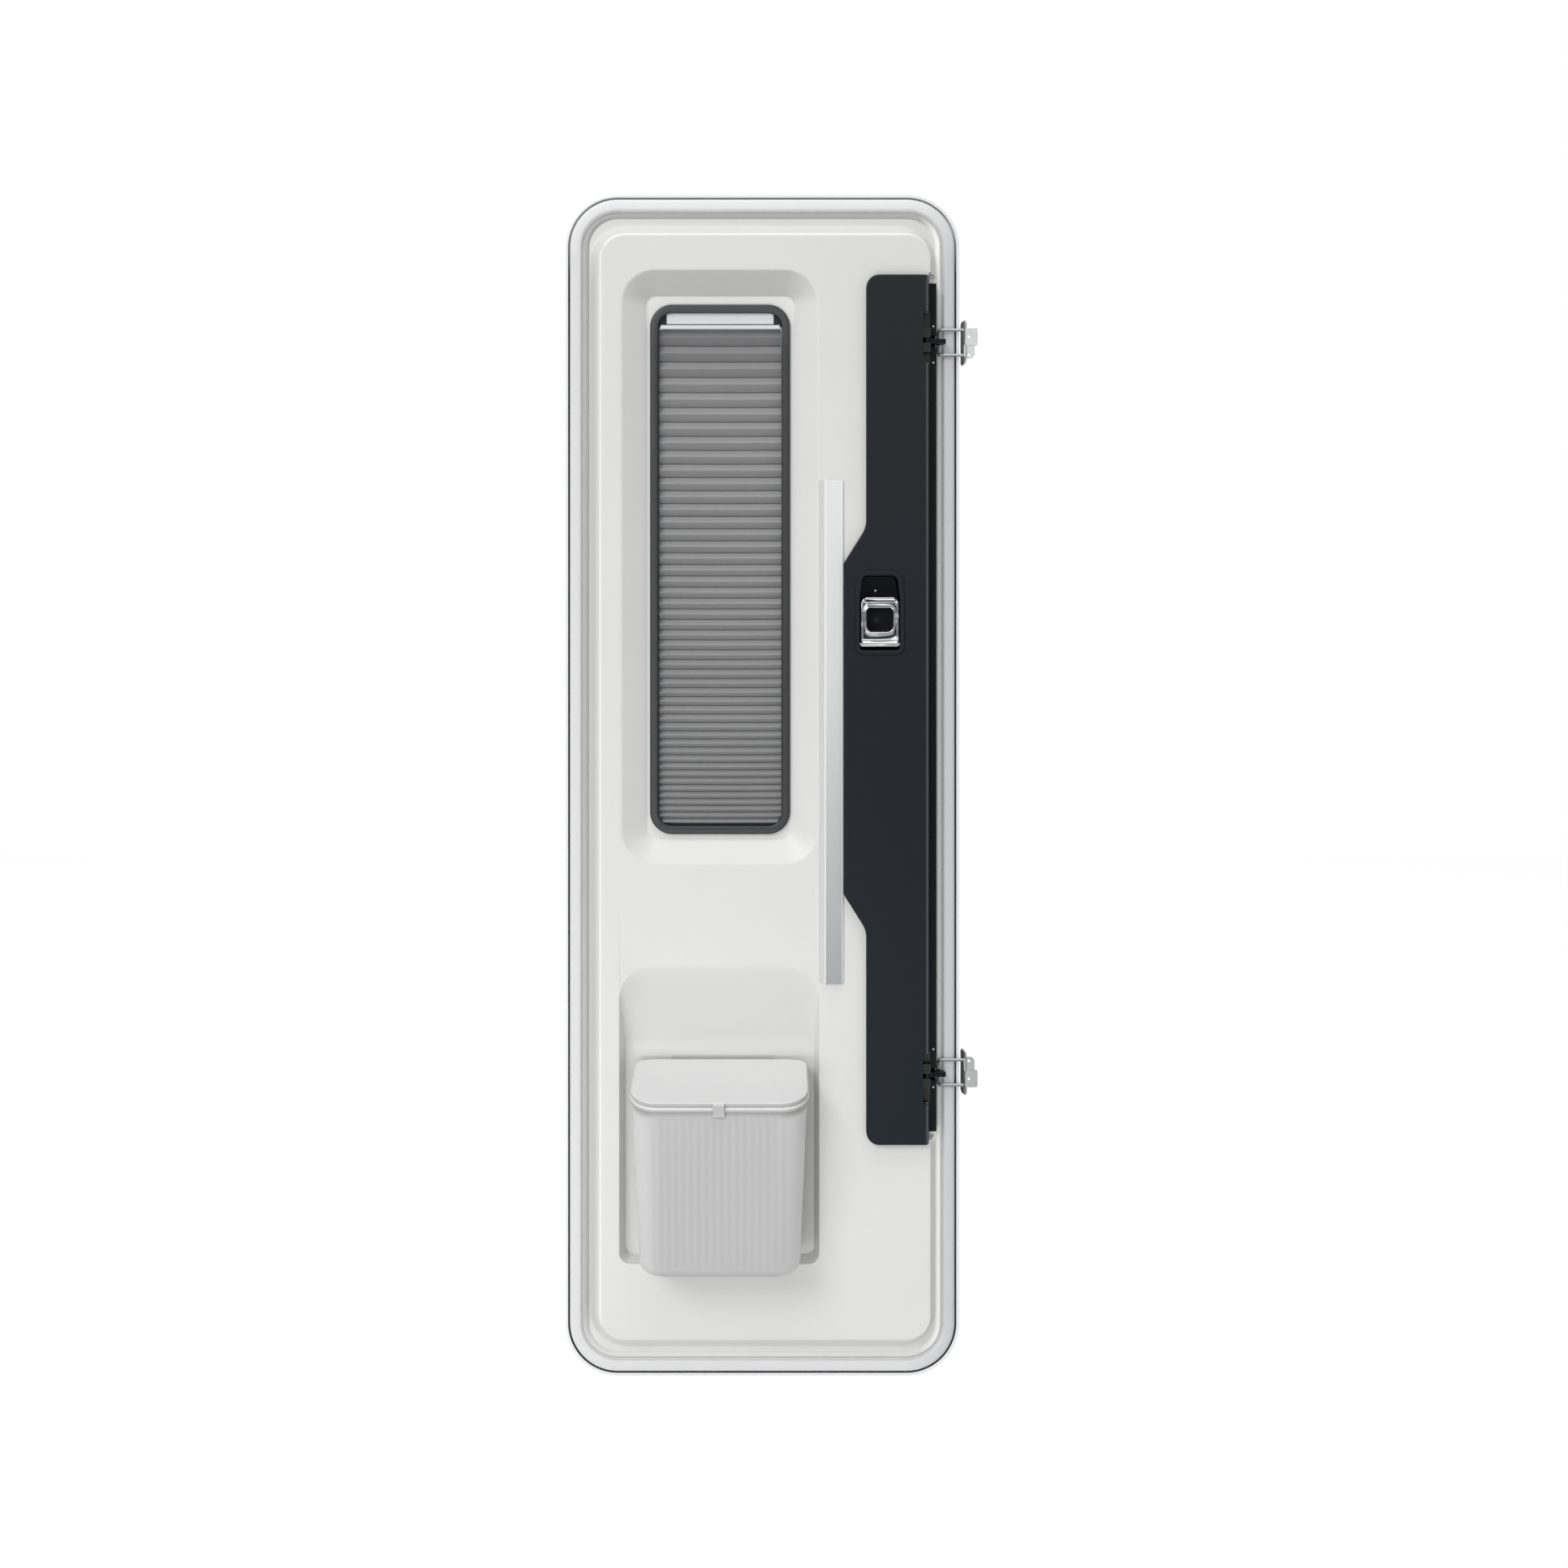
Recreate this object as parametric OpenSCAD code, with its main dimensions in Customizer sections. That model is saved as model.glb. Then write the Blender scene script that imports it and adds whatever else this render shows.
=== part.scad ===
// Caravan entry door leaf with its strikers, seen from the living side along +Y.
// Inside these modules X runs from the hinge edge, Z from the bottom edge, and Y is 0 at
// the outer face and negative towards the living side. The last lines move the leaf so that
// the origin lies on the hinge side face, half way up.

/* [Leaf] */
// Width of the leaf
leaf_w = 600; // [560:5:660]
// Height of the leaf
leaf_h = 1800; // [1700:10:1950]
// Outer radius of the leaf's corners
leaf_r = 80; // [74:2:100]
// Depth of the edge profile
profile_d = 26; // [24:0.5:28]
// Wall of the edge profile
profile_wall = 2; // [1.5:0.1:2.4]
// Width of the profile's front lip
lip_w = 3.7; // [3:0.1:4.2]
// Width of the profile's flange on the outer face
outer_flange_w = 20; // [16:1:25]
// Depth of the seal's seat below the outer face
seat_depth = 16; // [14:0.5:17]
// Width of the rubber seal
seal_w = 19; // [17:0.5:20]
// Height of the rubber seal over its seat
seal_h = 12; // [10.5:0.5:13]
// Open groove between the lip and the seal
seal_gap = 3.3; // [2.5:0.1:4]
// Thickness of the outer skin
skin_t = 1.5; // [1:0.1:2]

/* [Inner panel] */
// Depth of the panel's flange over the outer face
flange_d = 22; // [20:0.5:23]
// Depth of the panel's raised face over the outer face
pan_d = 45; // [42:0.5:48]
// Raised face, distance from the hinge edge
pan_left = 55.4; // [54:0.5:60]
// Raised face, distance from the lock edge
pan_right = 45.4; // [45:0.1:46]
// Raised face, distance from the top edge
pan_top = 65; // [62:1:75]
// Raised face, distance from the bottom edge
pan_bottom = 62.6; // [60:1:75]
// Corner radius of the raised face
pan_r = 37; // [30:1:45]
// Width of the slope around the raised face
pan_slope = 18; // [14:1:18]
// Width of that slope on the lock side
pan_slope_lock = 9.4; // [8:0.2:9.8]
// Width of the bead that covers the panel's edge
bead_w = 7.4; // [6:0.2:7.6]
// Height of that bead
bead_h = 2.5; // [1.5:0.1:3]

/* [Window] */
// Window recess, distance from the raised face's hinge side
recess_left = 32; // [28:1:40]
// Window recess, distance from the raised face's top
recess_top = 54; // [48:1:70]
// Window recess, distance from the light strip
recess_right = 10.3; // [9:0.5:20]
// Window recess, distance from the bin recess below it
recess_below = 159; // [120:1:190]
// Width of the recess's slope
recess_slope = 37.4; // [32:0.5:42]
// Depth of the recess
recess_d = 24; // [22:0.5:25]
// Corner radius of the recess
recess_r = 50; // [46:1:60]
// Land between the slope and the window frame, at the sides
land_side = 4; // [2:0.5:7]
// The same land at the top
land_top = 10.4; // [4:0.2:14]
// The same land at the bottom
land_bottom = 5; // [3:0.5:9]
// Face width of the inner window frame
frame_face = 12.6; // [11:0.1:14]
// How far the inner frame stands over the land
frame_proud = 6; // [5:0.5:8]
// Corner radius of the inner window frame
frame_r = 34; // [30:1:38]
// Wall of the frames inside the cut-out
frame_wall = 4.7; // [4:0.1:5.5]
// Thickness of the pane
pane_t = 4; // [3:0.5:4.5]
// Height of the outer frame over the skin
outer_frame_h = 4.5; // [3:0.5:6]

/* [Blind] */
// Height of the blind's cassette
cassette_h = 16; // [14:0.5:19]
// Width of each black end cap
cap_w = 12.7; // [9:0.1:15]
// Height of the pull rail
rail_h = 5.6; // [5:0.1:8]
// Gap between the cassette and the pull rail
rail_gap = 2; // [1:0.5:5]
// Gap between the pull rail and the frame
rail_side = 3.3; // [2:0.1:5]
// Number of pleats
pleats = 47; // [36:1:54]
// Size of each pleat against the one over it
pleat_ratio = 0.98; // [0.974:0.001:0.986]
// Depth of the pleats
pleat_d = 10; // [8:0.5:10.5]
// Thickness of the folded cloth
pleat_t = 1.2; // [1:0.1:1.5]

/* [Lock cover] */
// Cover, distance from the lock edge
cover_right = 49; // [48.6:0.1:49.4]
// Width of the cover at its ends
cover_narrow = 94; // [88:1:100]
// Width of the cover in the middle
cover_wide = 127.7; // [124:1:132]
// Cover, distance from the leaf's top edge
cover_top = 128; // [122:1:134]
// Cover, distance from the leaf's bottom edge
cover_bottom = 361; // [350:1:370]
// Upper end of the wide middle's shoulder
shoulder_top = 1303; // [1295:1:1315]
// Lower end of the wide middle's shoulder
shoulder_low = 672; // [660:1:680]
// Slope of the shoulders against the upright
shoulder_angle = 32; // [28:1:38]
// Radius of the shoulders
shoulder_r = 40; // [30:1:48]
// How far the cover stands over the raised face
cover_proud = 12; // [11:0.5:14]
// Corner radius of the cover
cover_r = 19.5; // [14:0.5:24]
// Rounding of the cover's front edges
cover_edge = 3; // [2:0.2:4]

/* [Latches] */
// Height of the upper latch under the leaf's top edge
latch_top = 226.5; // [222:0.5:232]
// Height of the lower latch over the leaf's bottom edge
latch_low = 464.2; // [455:0.5:475]
// Lock rail, distance from the lock edge to its near side
rail_x = 36.4; // [36:0.1:36.6]
// Width of the lock rail
rail_w = 11.9; // [11:0.1:12.2]
// Width of the lock rail beside a latch
rail_neck = 9.2; // [8.8:0.1:9.4]
// Depth of the lock rail's front over the outer face
rail_d = 43; // [41:0.5:44]
// Reach of a notch in the cover away from the middle of the door
notch_far = 42.7; // [41:0.1:45]
// Reach of a notch in the cover towards the middle of the door
notch_near = 35; // [34:0.5:38]
// Depth of a notch into the cover's edge
notch_d = 9.2; // [9:0.1:10]
// Claw pivot, distance from the lock edge
pivot_x = 50.5; // [50:0.1:51]
// Claw pivot, depth over the outer face
pivot_d = 46; // [45.5:0.1:46.5]
// Radius of the claw's pivot pin
pin_r = 2; // [1.8:0.1:2.2]
// Radius of the claw's boss
boss_r = 4.8; // [4.4:0.1:5.2]
// Thickness of a claw
claw_t = 7; // [6:0.5:8]
// Wall of the claw's nose outside the striker bar
nose_t = 3; // [2.5:0.1:3.5]

/* [Strikers] */
// Diameter of the striker's wire
wire_d = 4.5; // [4:0.1:4.8]
// Distance between the striker's two legs
leg_gap = 38.3; // [34:0.1:42]
// Striker bar, distance from the lock edge
bar_x = 32.7; // [32.5:0.1:33]
// Striker bar, depth over the outer face
bar_d = 32; // [31.5:0.1:32.5]
// Bend radius of the wire's centre line
wire_bend = 6; // [5:0.5:8]
// Gap between the leaf's edge and the striker bracket
bracket_gap = 3; // [2:0.5:5]
// Sheet thickness of the bracket
bracket_t = 2.5; // [2:0.1:3]
// Height of the bracket's side plate
bracket_h = 68; // [60:1:74]
// Depth of the bracket's side plate
bracket_d = 22; // [20:1:24]
// Width of the bracket's screw plate
screw_plate_w = 20; // [18:0.5:24]
// Distance between the bracket's screw holes
screw_gap = 27; // [22:1:32]
// Radius of the bracket's screw holes
screw_r = 2.2; // [2:0.1:2.5]

/* [Hinge side] */
// Height of a hinge's middle over the bottom and under the top edge
hinge_inset = 240; // [200:5:280]
// Distance between the two screws of a hinge
hinge_gap = 165; // [120:5:180]
// Radius of the hinge screw holes
hinge_r = 2.1; // [1.8:0.1:2.5]

/* [Inner handle] */
// Height of the handle's pivot over the bottom edge
handle_z = 1115; // [1105:1:1125]
// Width of the inner handle
handle_w = 57.8; // [54:0.2:60]
// Height of the inner handle
handle_h = 75.4; // [70:0.2:78]
// Thickness of the inner handle
handle_t = 8; // [7:0.5:9]
// Width of the bars beside the handle's opening
handle_bar = 8.6; // [7:0.2:10]
// Height of the handle's top bar
handle_top = 17; // [14:0.5:19]
// Height of the handle's bottom bar
handle_foot = 23; // [20:0.5:26]
// Side gap between the handle and its pocket
handle_gap = 1.4; // [1:0.1:2.5]
// Height of the finger room over the handle
finger_h = 32; // [28:1:34]
// Depth of the pocket behind the cover's face
pocket_d = 30; // [28:0.5:32]
// Wall of the pocket
pocket_t = 2; // [1.6:0.1:2.4]
// Width of the raised surround around the pocket
surround_w = 6.8; // [5:0.2:8]
// How far the surround stands over the cover
surround_h = 3; // [2:0.2:4]
// Radius of the handle's pin
handle_pin_r = 2; // [1.8:0.1:2.2]

/* [Light strip] */
// Width of the light strip
strip_w = 28.2; // [26:0.2:30]
// Length of the light strip
strip_len = 760; // [700:5:790]
// Height of the strip's lower end over the bottom edge
strip_z = 602.5; // [590:2.5:640]
// How far the strip stands over the raised face
strip_proud = 4; // [3:0.5:6]
// Gap between the strip and the cover
strip_gap = 0.9; // [0.6:0.1:1.5]

/* [Bin recess] */
// Bin recess, distance from the raised face's hinge side
bin_recess_left = 28.3; // [26:0.5:34]
// Bin recess, distance from the light strip
bin_recess_right = 7.8; // [7:0.2:12]
// Bin recess, distance from the raised face's bottom
bin_recess_bottom = 115.4; // [105:1:125]
// Height of the bin recess
bin_recess_h = 446; // [430:1:456]
// Height of the recess's long upper slope
bin_slope_h = 114.7; // [105:1:120]
// Depth of the bin recess
bin_recess_d = 28; // [26:0.5:30]
// Draft of the bin recess's walls
bin_draft = 7; // [5:0.5:9]

/* [Bin] */
// Offset of the bin from the middle of its recess
bin_offset = 2.6; // [1:0.2:4]
// Height of the bin's underside over the bottom edge
bin_z = 190; // [186:1:198]
// Height of the lid's back edge over the bottom edge
bin_hinge_z = 476; // [472:1:480]
// Slope of the rim and the lid towards the front
bin_tilt = 14; // [10:0.5:16]
// Width of the body under the rim
bin_w = 258; // [248:1:262]
// Width of the body at its foot
bin_foot_w = 237; // [228:1:242]
// Depth of the body under the rim
bin_d = 120; // [112:1:126]
// Depth of the body at its foot
bin_foot_d = 105; // [98:1:110]
// Gap between the body and the recess's back wall
bin_gap = 10; // [9.5:0.1:11]
// Wall of the body
bin_wall = 2.2; // [1.8:0.1:3]
// How far the rim stands over the body
rim_proud = 3.4; // [3:0.2:4.5]
// Height of the rim
rim_h = 8; // [6:0.2:9]
// Height of the lid's edge
lid_h = 7; // [6.6:0.1:8]
// How far the lid's edge stands behind the rim's
lid_inset = 2.4; // [2:0.1:2.6]
// Wall of the lid
lid_wall = 2.2; // [1.8:0.1:2.6]
// Corner radius at the front of the bin
bin_front_r = 42; // [36:1:46]
// Corner radius at the back of the bin
bin_rear_r = 16; // [12:1:18]
// Rounding of the body's foot
bin_foot_r = 20; // [14:1:24]
// Radius of the lid's pin
lid_pin_r = 1.5; // [1.2:0.1:1.7]
// Width of the lid's clasp
clasp_w = 16.4; // [14:0.2:20]
// Width of the hanger
hanger_w = 154; // [140:2:164]
// Height of the lid's back edge over the hanger's lower edge
hang_drop = 38; // [34:1:42]
// Height of the hanger's upper edge over the lid's back edge
hang_rise = 11; // [6:1:14]
// Sheet thickness of the hanger and the hook
hanger_t = 2; // [1.6:0.1:2.2]

/* [Outer handle] */
// Width of the outer handle's plate
outer_plate_w = 70; // [64:1:80]
// Height of the outer handle's plate
outer_plate_h = 170; // [160:2:190]
// Height of the plate over the skin
outer_plate_t = 8; // [6:0.5:10]
// Depth of the plate's finger cup under the skin
outer_cup_d = 13; // [10:0.5:14]
// Height of the finger cup under and over the handle's middle
outer_cup_low = 30; // [26:1:34]
outer_cup_high = 60; // [50:1:64]
// Height of the handle's middle over the lock barrel
barrel_drop = 62; // [56:1:70]
// Radius of the lock barrel
barrel_r = 11; // [9:0.5:12]

/* [Hidden] */

// Clearances: a seat, a running pin, and a cut that has to run past a face
fit = 0.3;
run_fit = 0.08;
past = 1;
steps = 8;
$fn = 64;

// Leaf
skin_y = -skin_t;
panel_back_y = -2 * skin_t;
lip_y = -profile_d;
seat_y = -seat_depth;
seal_y = -(seat_depth + seal_h);
seal_x = lip_w + seal_gap;
upstand_x = seal_x + seal_w + fit;
upstand_h = 5;
panel_x = upstand_x + profile_wall + fit;
flange_y = -flange_d;
pan_y = -pan_d;

// Raised face, as x0, z0, x1, z1
pan = [pan_left, pan_bottom, leaf_w - pan_right, leaf_h - pan_top];
pan_foot = [pan[0] - pan_slope, pan[1] - pan_slope, pan[2] + pan_slope_lock, pan[3] + pan_slope];

// Lock cover and light strip
cover_y = pan_y - cover_proud;
cover_x1 = leaf_w - cover_right;
cover_x0 = cover_x1 - cover_narrow;
cover_mid_x = cover_x1 - cover_wide;
cover_z1 = leaf_h - cover_top;
strip_x1 = cover_mid_x - strip_gap;
strip_x0 = strip_x1 - strip_w;

// Bin recess and window recess
bin_recess = [pan[0] + bin_recess_left, pan[1] + bin_recess_bottom,
    strip_x0 - bin_recess_right, pan[1] + bin_recess_bottom + bin_recess_h];
bin_wall_y = pan_y + bin_recess_d;
recess = [pan[0] + recess_left, bin_recess[3] + recess_below,
    strip_x0 - recess_right, pan[3] - recess_top];
land_y = pan_y + recess_d;
land = grow(recess, -recess_slope);
frame = [land[0] + land_side, land[1] + land_bottom, land[2] - land_side, land[3] - land_top];
clear = grow(frame, -frame_face);
cutout = grow(clear, frame_wall + fit);
frame_y = land_y - frame_proud;
pane_back_y = panel_back_y - 1;
pane_front_y = pane_back_y - pane_t;

// Blind
blind_y = land_y + 1;
cassette_z = clear[3] - fit - cassette_h;
rail_z = cassette_z - rail_gap - rail_h;
pleat_drop = rail_z - clear[1] - fit;
first_pleat = pleat_drop * (1 - pleat_ratio) / (1 - pow(pleat_ratio, pleats));

// Latches: heights, and the direction that points away from the middle of the door
upper_latch_z = leaf_h - latch_top;
lower_latch_z = latch_low;
rail_x1 = leaf_w - rail_x;
rail_x0 = rail_x1 - rail_w;
neck_x = rail_x1 - rail_neck;
rail_y = -rail_d;
rail_back_y = flange_y - 2;
notch_x = cover_x1 - notch_d;
pivot = [leaf_w - pivot_x, -pivot_d];
bar = [leaf_w - bar_x, -bar_d];
bar_reach = norm(bar - pivot);
bar_angle = atan2(bar[1] - pivot[1], bar[0] - pivot[0]);
grip_gap = 0.6;
grip_angle = asin((wire_d / 2) / bar_reach);
finger_angle = bar_angle - grip_angle - 0.8;
claw_slot = claw_t / 2 + 5.5;
house_slot = claw_t / 2 + 0.4;
house_front_y = -(pivot_d + boss_r + 2);

// Inner handle and its pocket
handle_x = (cover_mid_x + cover_x1) / 2 - 10;
handle_y = cover_y - 1 + handle_t;
handle_z0 = handle_z - 4;
handle_z1 = handle_z0 + handle_h;
pocket = [handle_x - handle_w / 2 - handle_gap, handle_z0 - 5,
    handle_x + handle_w / 2 + handle_gap, handle_z1 + finger_h];
pocket_y = cover_y + pocket_d;
surround_y = cover_y - surround_h;
pivot_y = handle_y - handle_t / 2;

// Bin
bin_x = (bin_recess[0] + bin_recess[2]) / 2 + bin_offset;
bin_rear_y = bin_wall_y - bin_gap;
lid_w = bin_w + 2 * rim_proud;
lid_d = (bin_d + rim_proud) / cos(bin_tilt);
lid_axis_z = lid_h / 2;
ear_w = 8;
barrel_w = lid_w - 2 * bin_rear_r - 24;
hang_z = bin_hinge_z - hang_drop;
hang_lip = 12;
hook_w = hanger_w - 10;

// Corner radii of the window's cut-out, the handle's pocket and the outer cup
clear_r = frame_r - frame_face;
cutout_r = clear_r + frame_wall + fit;
pocket_r = 6;
outer_cup_r = 9;

// Lock rail and hinge screws
rail_z0 = cover_bottom + 17;
rail_z1 = cover_z1 - 11;
hinge_y = -seat_depth / 2;

// Outer handle
outer_z = handle_z + 35;
outer_y = skin_y + outer_plate_t;
outer_plate = [handle_x - outer_plate_w / 2, outer_z - outer_plate_h * 0.56,
    handle_x + outer_plate_w / 2, outer_z + outer_plate_h * 0.44];
outer_cup = [outer_plate[0] + barrel_r, outer_z - outer_cup_low,
    outer_plate[2] - barrel_r, outer_z + outer_cup_high];
outer_cup_y = skin_y - outer_cup_d;
barrel_z = outer_z - barrel_drop;
barrel_y = -12;

function grow(b, d) = [b[0] - d, b[1] - d, b[2] + d, b[3] + d];
function unit(v) = v / norm(v);
function xy(p) = [p[0], p[1]];
function mix(a, b, t) = a + (b - a) * t;

// Arc that rounds the corner b between a and c with radius r, in n steps
function corner(a, b, c, r, n) =
    let (d1 = unit(a - b), d2 = unit(c - b),
         half = acos(max(-1, min(1, d1 * d2))) / 2,
         mid = b + unit(d1 + d2) * r / sin(half),
         s = b + d1 * r / tan(half) - mid,
         e = b + d2 * r / tan(half) - mid,
         a0 = atan2(s[1], s[0]),
         turn = (atan2(e[1], e[0]) - a0 + 540) % 360 - 180)
    [for (i = [0 : n]) mid + r * [cos(a0 + turn * i / n), sin(a0 + turn * i / n)]];

// Closed outline from corners given as x, z, radius
function outline(v, n = steps) =
    let (m = len(v))
    [for (i = [0 : m - 1]) each corner(xy(v[(i + m - 1) % m]), xy(v[i]), xy(v[(i + 1) % m]),
        v[i][2], n)];

// Open profile from points given as x, y, radius, with its ends kept
function profile(v, n = 4) =
    concat([xy(v[0])],
        [for (i = [1 : len(v) - 2]) each corner(xy(v[i - 1]), xy(v[i]), xy(v[i + 1]), v[i][2], n)],
        [xy(v[len(v) - 1])]);

// Rectangle x0, z0, x1, z1 with its four radii: lower left, lower right, upper right, upper left
function box_outline(b, r) =
    let (q = is_list(r) ? r : [r, r, r, r])
    outline([[b[0], b[1], q[0]], [b[2], b[1], q[1]], [b[2], b[3], q[2]], [b[0], b[3], q[3]]]);
function upright(o, y) = [for (p = o) [p[0], y, p[1]]];
function level(o, z) = [for (p = o) [p[0], p[1], z]];

// Closed solid through a row of rings that advance along their own normal, its ends fanned
// out from their middles
module loft(rings) {
    n = len(rings[0]);
    k = len(rings);
    polyhedron(
        points = concat([for (r = rings) each r], [middle(rings[0]), middle(rings[k - 1])]),
        faces = concat(
            [for (i = [0 : n - 1]) [i, (i + 1) % n, k * n]],
            [for (j = [0 : k - 2], i = [0 : n - 1]) [j * n + i, (j + 1) * n + i,
                (j + 1) * n + (i + 1) % n, j * n + (i + 1) % n]],
            [for (i = [0 : n - 1]) [(k - 1) * n + (i + 1) % n, (k - 1) * n + i, k * n + 1]]));
}
function middle(o) = [for (p = o) 1] * o / len(o);

// Rectangle x0, z0, x1, z1 with round corners, as a flat shape
module rounded(b, r) {
    translate([b[0] + r, b[1]]) square([b[2] - b[0] - 2 * r, b[3] - b[1]]);
    translate([b[0], b[1] + r]) square([b[2] - b[0], b[3] - b[1] - 2 * r]);
    for (x = [b[0] + r, b[2] - r], z = [b[1] + r, b[3] - r])
        translate([x, z]) circle(r);
}

// Flat shape drawn in x and z, from depth y_back to depth y_front
module slab(y_back, y_front) {
    translate([0, y_back, 0]) rotate([90, 0, 0]) linear_extrude(y_back - y_front) children();
}

// Block between two corners
module block(a, b) {
    translate(a) cube(b - a);
}

// Section drawn as distance from the edge and depth, swept once around the leaf
module around_leaf() {
    for (mx = [0, 1], mz = [0, 1])
        translate([mx * leaf_w, 0, mz * leaf_h]) mirror([mx, 0, 0]) mirror([0, 0, mz])
            translate([leaf_w - leaf_r, 0, leaf_r]) rotate([-90, 0, 0])
                rotate_extrude(angle = 90) translate([leaf_r, 0]) mirror([1, 0]) children();
    for (mx = [0, 1])
        translate([mx * leaf_w, 0, 0]) mirror([mx, 0, 0])
            translate([0, 0, leaf_r]) linear_extrude(leaf_h - 2 * leaf_r) children();
    for (mz = [0, 1])
        translate([0, 0, mz * leaf_h]) mirror([0, 0, mz])
            translate([leaf_w - leaf_r, 0, 0]) rotate([0, -90, 0])
                linear_extrude(leaf_w - 2 * leaf_r) children();
}

// Places a latch part drawn for the upper latch at z = 0, mirrored for the lower one
module at_latch(lower) {
    translate([0, 0, lower ? lower_latch_z : upper_latch_z]) mirror([0, 0, lower ? 1 : 0])
        children();
}

// Frame of the bin's lid: x from the middle, y to the back edge, z up from the lid's underside
module on_lid() {
    translate([bin_x, bin_rear_y, bin_hinge_z]) rotate([bin_tilt, 0, 0]) children();
}

module outer_skin() {
    color("white") difference() {
        slab(skin_y, panel_back_y)
            rounded([profile_wall + fit, profile_wall + fit, leaf_w - profile_wall - fit,
                leaf_h - profile_wall - fit], leaf_r - profile_wall - fit);
        slab(past, panel_back_y - past) rounded(cutout, cutout_r);
        slab(past, panel_back_y - past) rounded(grow(outer_cup, pocket_t + fit), outer_cup_r);
        translate([handle_x, past, barrel_z]) rotate([90, 0, 0])
            cylinder(r = barrel_r + fit, h = 2 * past - panel_back_y);
    }
}

module edge_profile() {
    color("silver") difference() {
        around_leaf() polygon([[0, 0], [0, lip_y], [lip_w, lip_y], [lip_w, lip_y + 3],
            [profile_wall, lip_y + 3], [profile_wall, seat_y], [upstand_x, seat_y],
            [upstand_x, seat_y - upstand_h], [upstand_x + profile_wall, seat_y - upstand_h],
            [upstand_x + profile_wall, seat_y + profile_wall],
            [profile_wall, seat_y + profile_wall], [profile_wall, skin_y],
            [outer_flange_w, skin_y], [outer_flange_w, 0]]);
        for (z = [hinge_inset, leaf_h - hinge_inset], s = [-1, 1])
            translate([-past, hinge_y, z + s * hinge_gap / 2]) rotate([0, 90, 0])
                cylinder(r = hinge_r, h = profile_wall + 2 * past);
    }
}

module rim_seal() {
    color("white") around_leaf() polygon(concat([[seal_x, seat_y]],
        corner([seal_x, seat_y], [seal_x, seal_y], [seal_x + seal_w, seal_y], seal_h * 0.45, 5),
        corner([seal_x, seal_y], [seal_x + seal_w, seal_y], [seal_x + seal_w, seat_y],
            seal_h * 0.45, 5),
        [[seal_x + seal_w, seat_y]]));
}

module panel_bead() {
    color("white") around_leaf() polygon([[panel_x, flange_y], [panel_x, flange_y - bead_h],
        [panel_x + bead_w * 0.6, flange_y - bead_h], [panel_x + bead_w, flange_y]]);
}

module pan_loft() {
    path = profile([[0, 0, 0], [pan_slope, pan_d - flange_d, 9],
        [pan_slope + 10, pan_d - flange_d, 0]]);
    loft(concat([upright(pan_ring(0), flange_y + past)],
        [for (p = path) upright(pan_ring(p[0] / pan_slope), flange_y - p[1])]));
}
function pan_ring(t) = box_outline(mix(pan_foot, pan, t), pan_r + pan_slope * (1 - t));

module window_recess() {
    path = profile([[-8, 0, 0], [0, 0, 9], [recess_slope, recess_d, 12],
        [recess_slope + 12, recess_d + 0.6, 0]]);
    loft(concat([for (p = path) upright(recess_ring(p[0]), land_y - p[1])],
        [upright(recess_ring(recess_slope + 12), pan_y - 6)]));
}
function recess_ring(w) = box_outline(grow(land, w), recess_r - recess_slope + w);

module bin_recess_cut() {
    out = 1 + past / bin_recess_d;
    loft([upright(bin_ring(0), bin_wall_y), upright(bin_ring(out), pan_y - past)]);
}
function bin_ring(t) = box_outline(
    [bin_recess[0] + bin_draft * (1 - t), bin_recess[1] + bin_draft * 0.7 * (1 - t),
     bin_recess[2] - bin_draft * (1 - t), bin_recess[3] - bin_slope_h * (1 - t)],
    [mix(12, 17, t), mix(12, 17, t), mix(12, 47, t), mix(12, 47, t)]);

module latch_pocket() {
    block([notch_x, pan_y - past, -notch_near], [neck_x, rail_back_y, notch_far]);
}

module inner_panel() {
    edge = leaf_r - panel_x;
    color("white") difference() {
        union() {
            slab(panel_back_y, flange_y)
                rounded([panel_x, panel_x, leaf_w - panel_x, leaf_h - panel_x], edge);
            pan_loft();
        }
        window_recess();
        bin_recess_cut();
        slab(past, land_y - past) rounded(cutout, cutout_r);
        slab(pocket_y + pocket_t + fit, pan_y - past)
            rounded(grow(pocket, pocket_t + fit), pocket_r + pocket_t);
        block([rail_x0 - fit, pan_y - past, rail_z0 - 12], [rail_x1 + 2.4, rail_back_y, rail_z1 + 16]);
        at_latch(false) latch_pocket();
        at_latch(true) latch_pocket();
        slab(past, outer_cup_y - pocket_t - fit)
            rounded(grow(outer_cup, pocket_t + fit), outer_cup_r);
        translate([handle_x, past, barrel_z]) rotate([90, 0, 0])
            cylinder(r = barrel_r + fit, h = past - barrel_y + fit);
    }
}

module window_pane() {
    color([0.55, 0.6, 0.62, 0.6]) slab(pane_back_y, pane_front_y)
        rounded(grow(cutout, -fit), cutout_r - fit);
}

// Inner window frame: a rounded face on the land and a wall that lines the cut-out
module window_frame_inner() {
    path = profile([[0, 0, 0], [0, frame_proud, frame_proud * 0.6], [frame_face / 2, frame_proud, 0]], 4);
    color("#2b2c2e") difference() {
        union() {
            loft([for (p = path) upright(box_outline(grow(frame, -p[0]), frame_r - p[0]),
                land_y - p[1])]);
            slab(pane_front_y, land_y - past) rounded(grow(cutout, -fit), cutout_r - fit);
        }
        slab(past, frame_y - past) rounded(clear, clear_r);
    }
}

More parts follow.
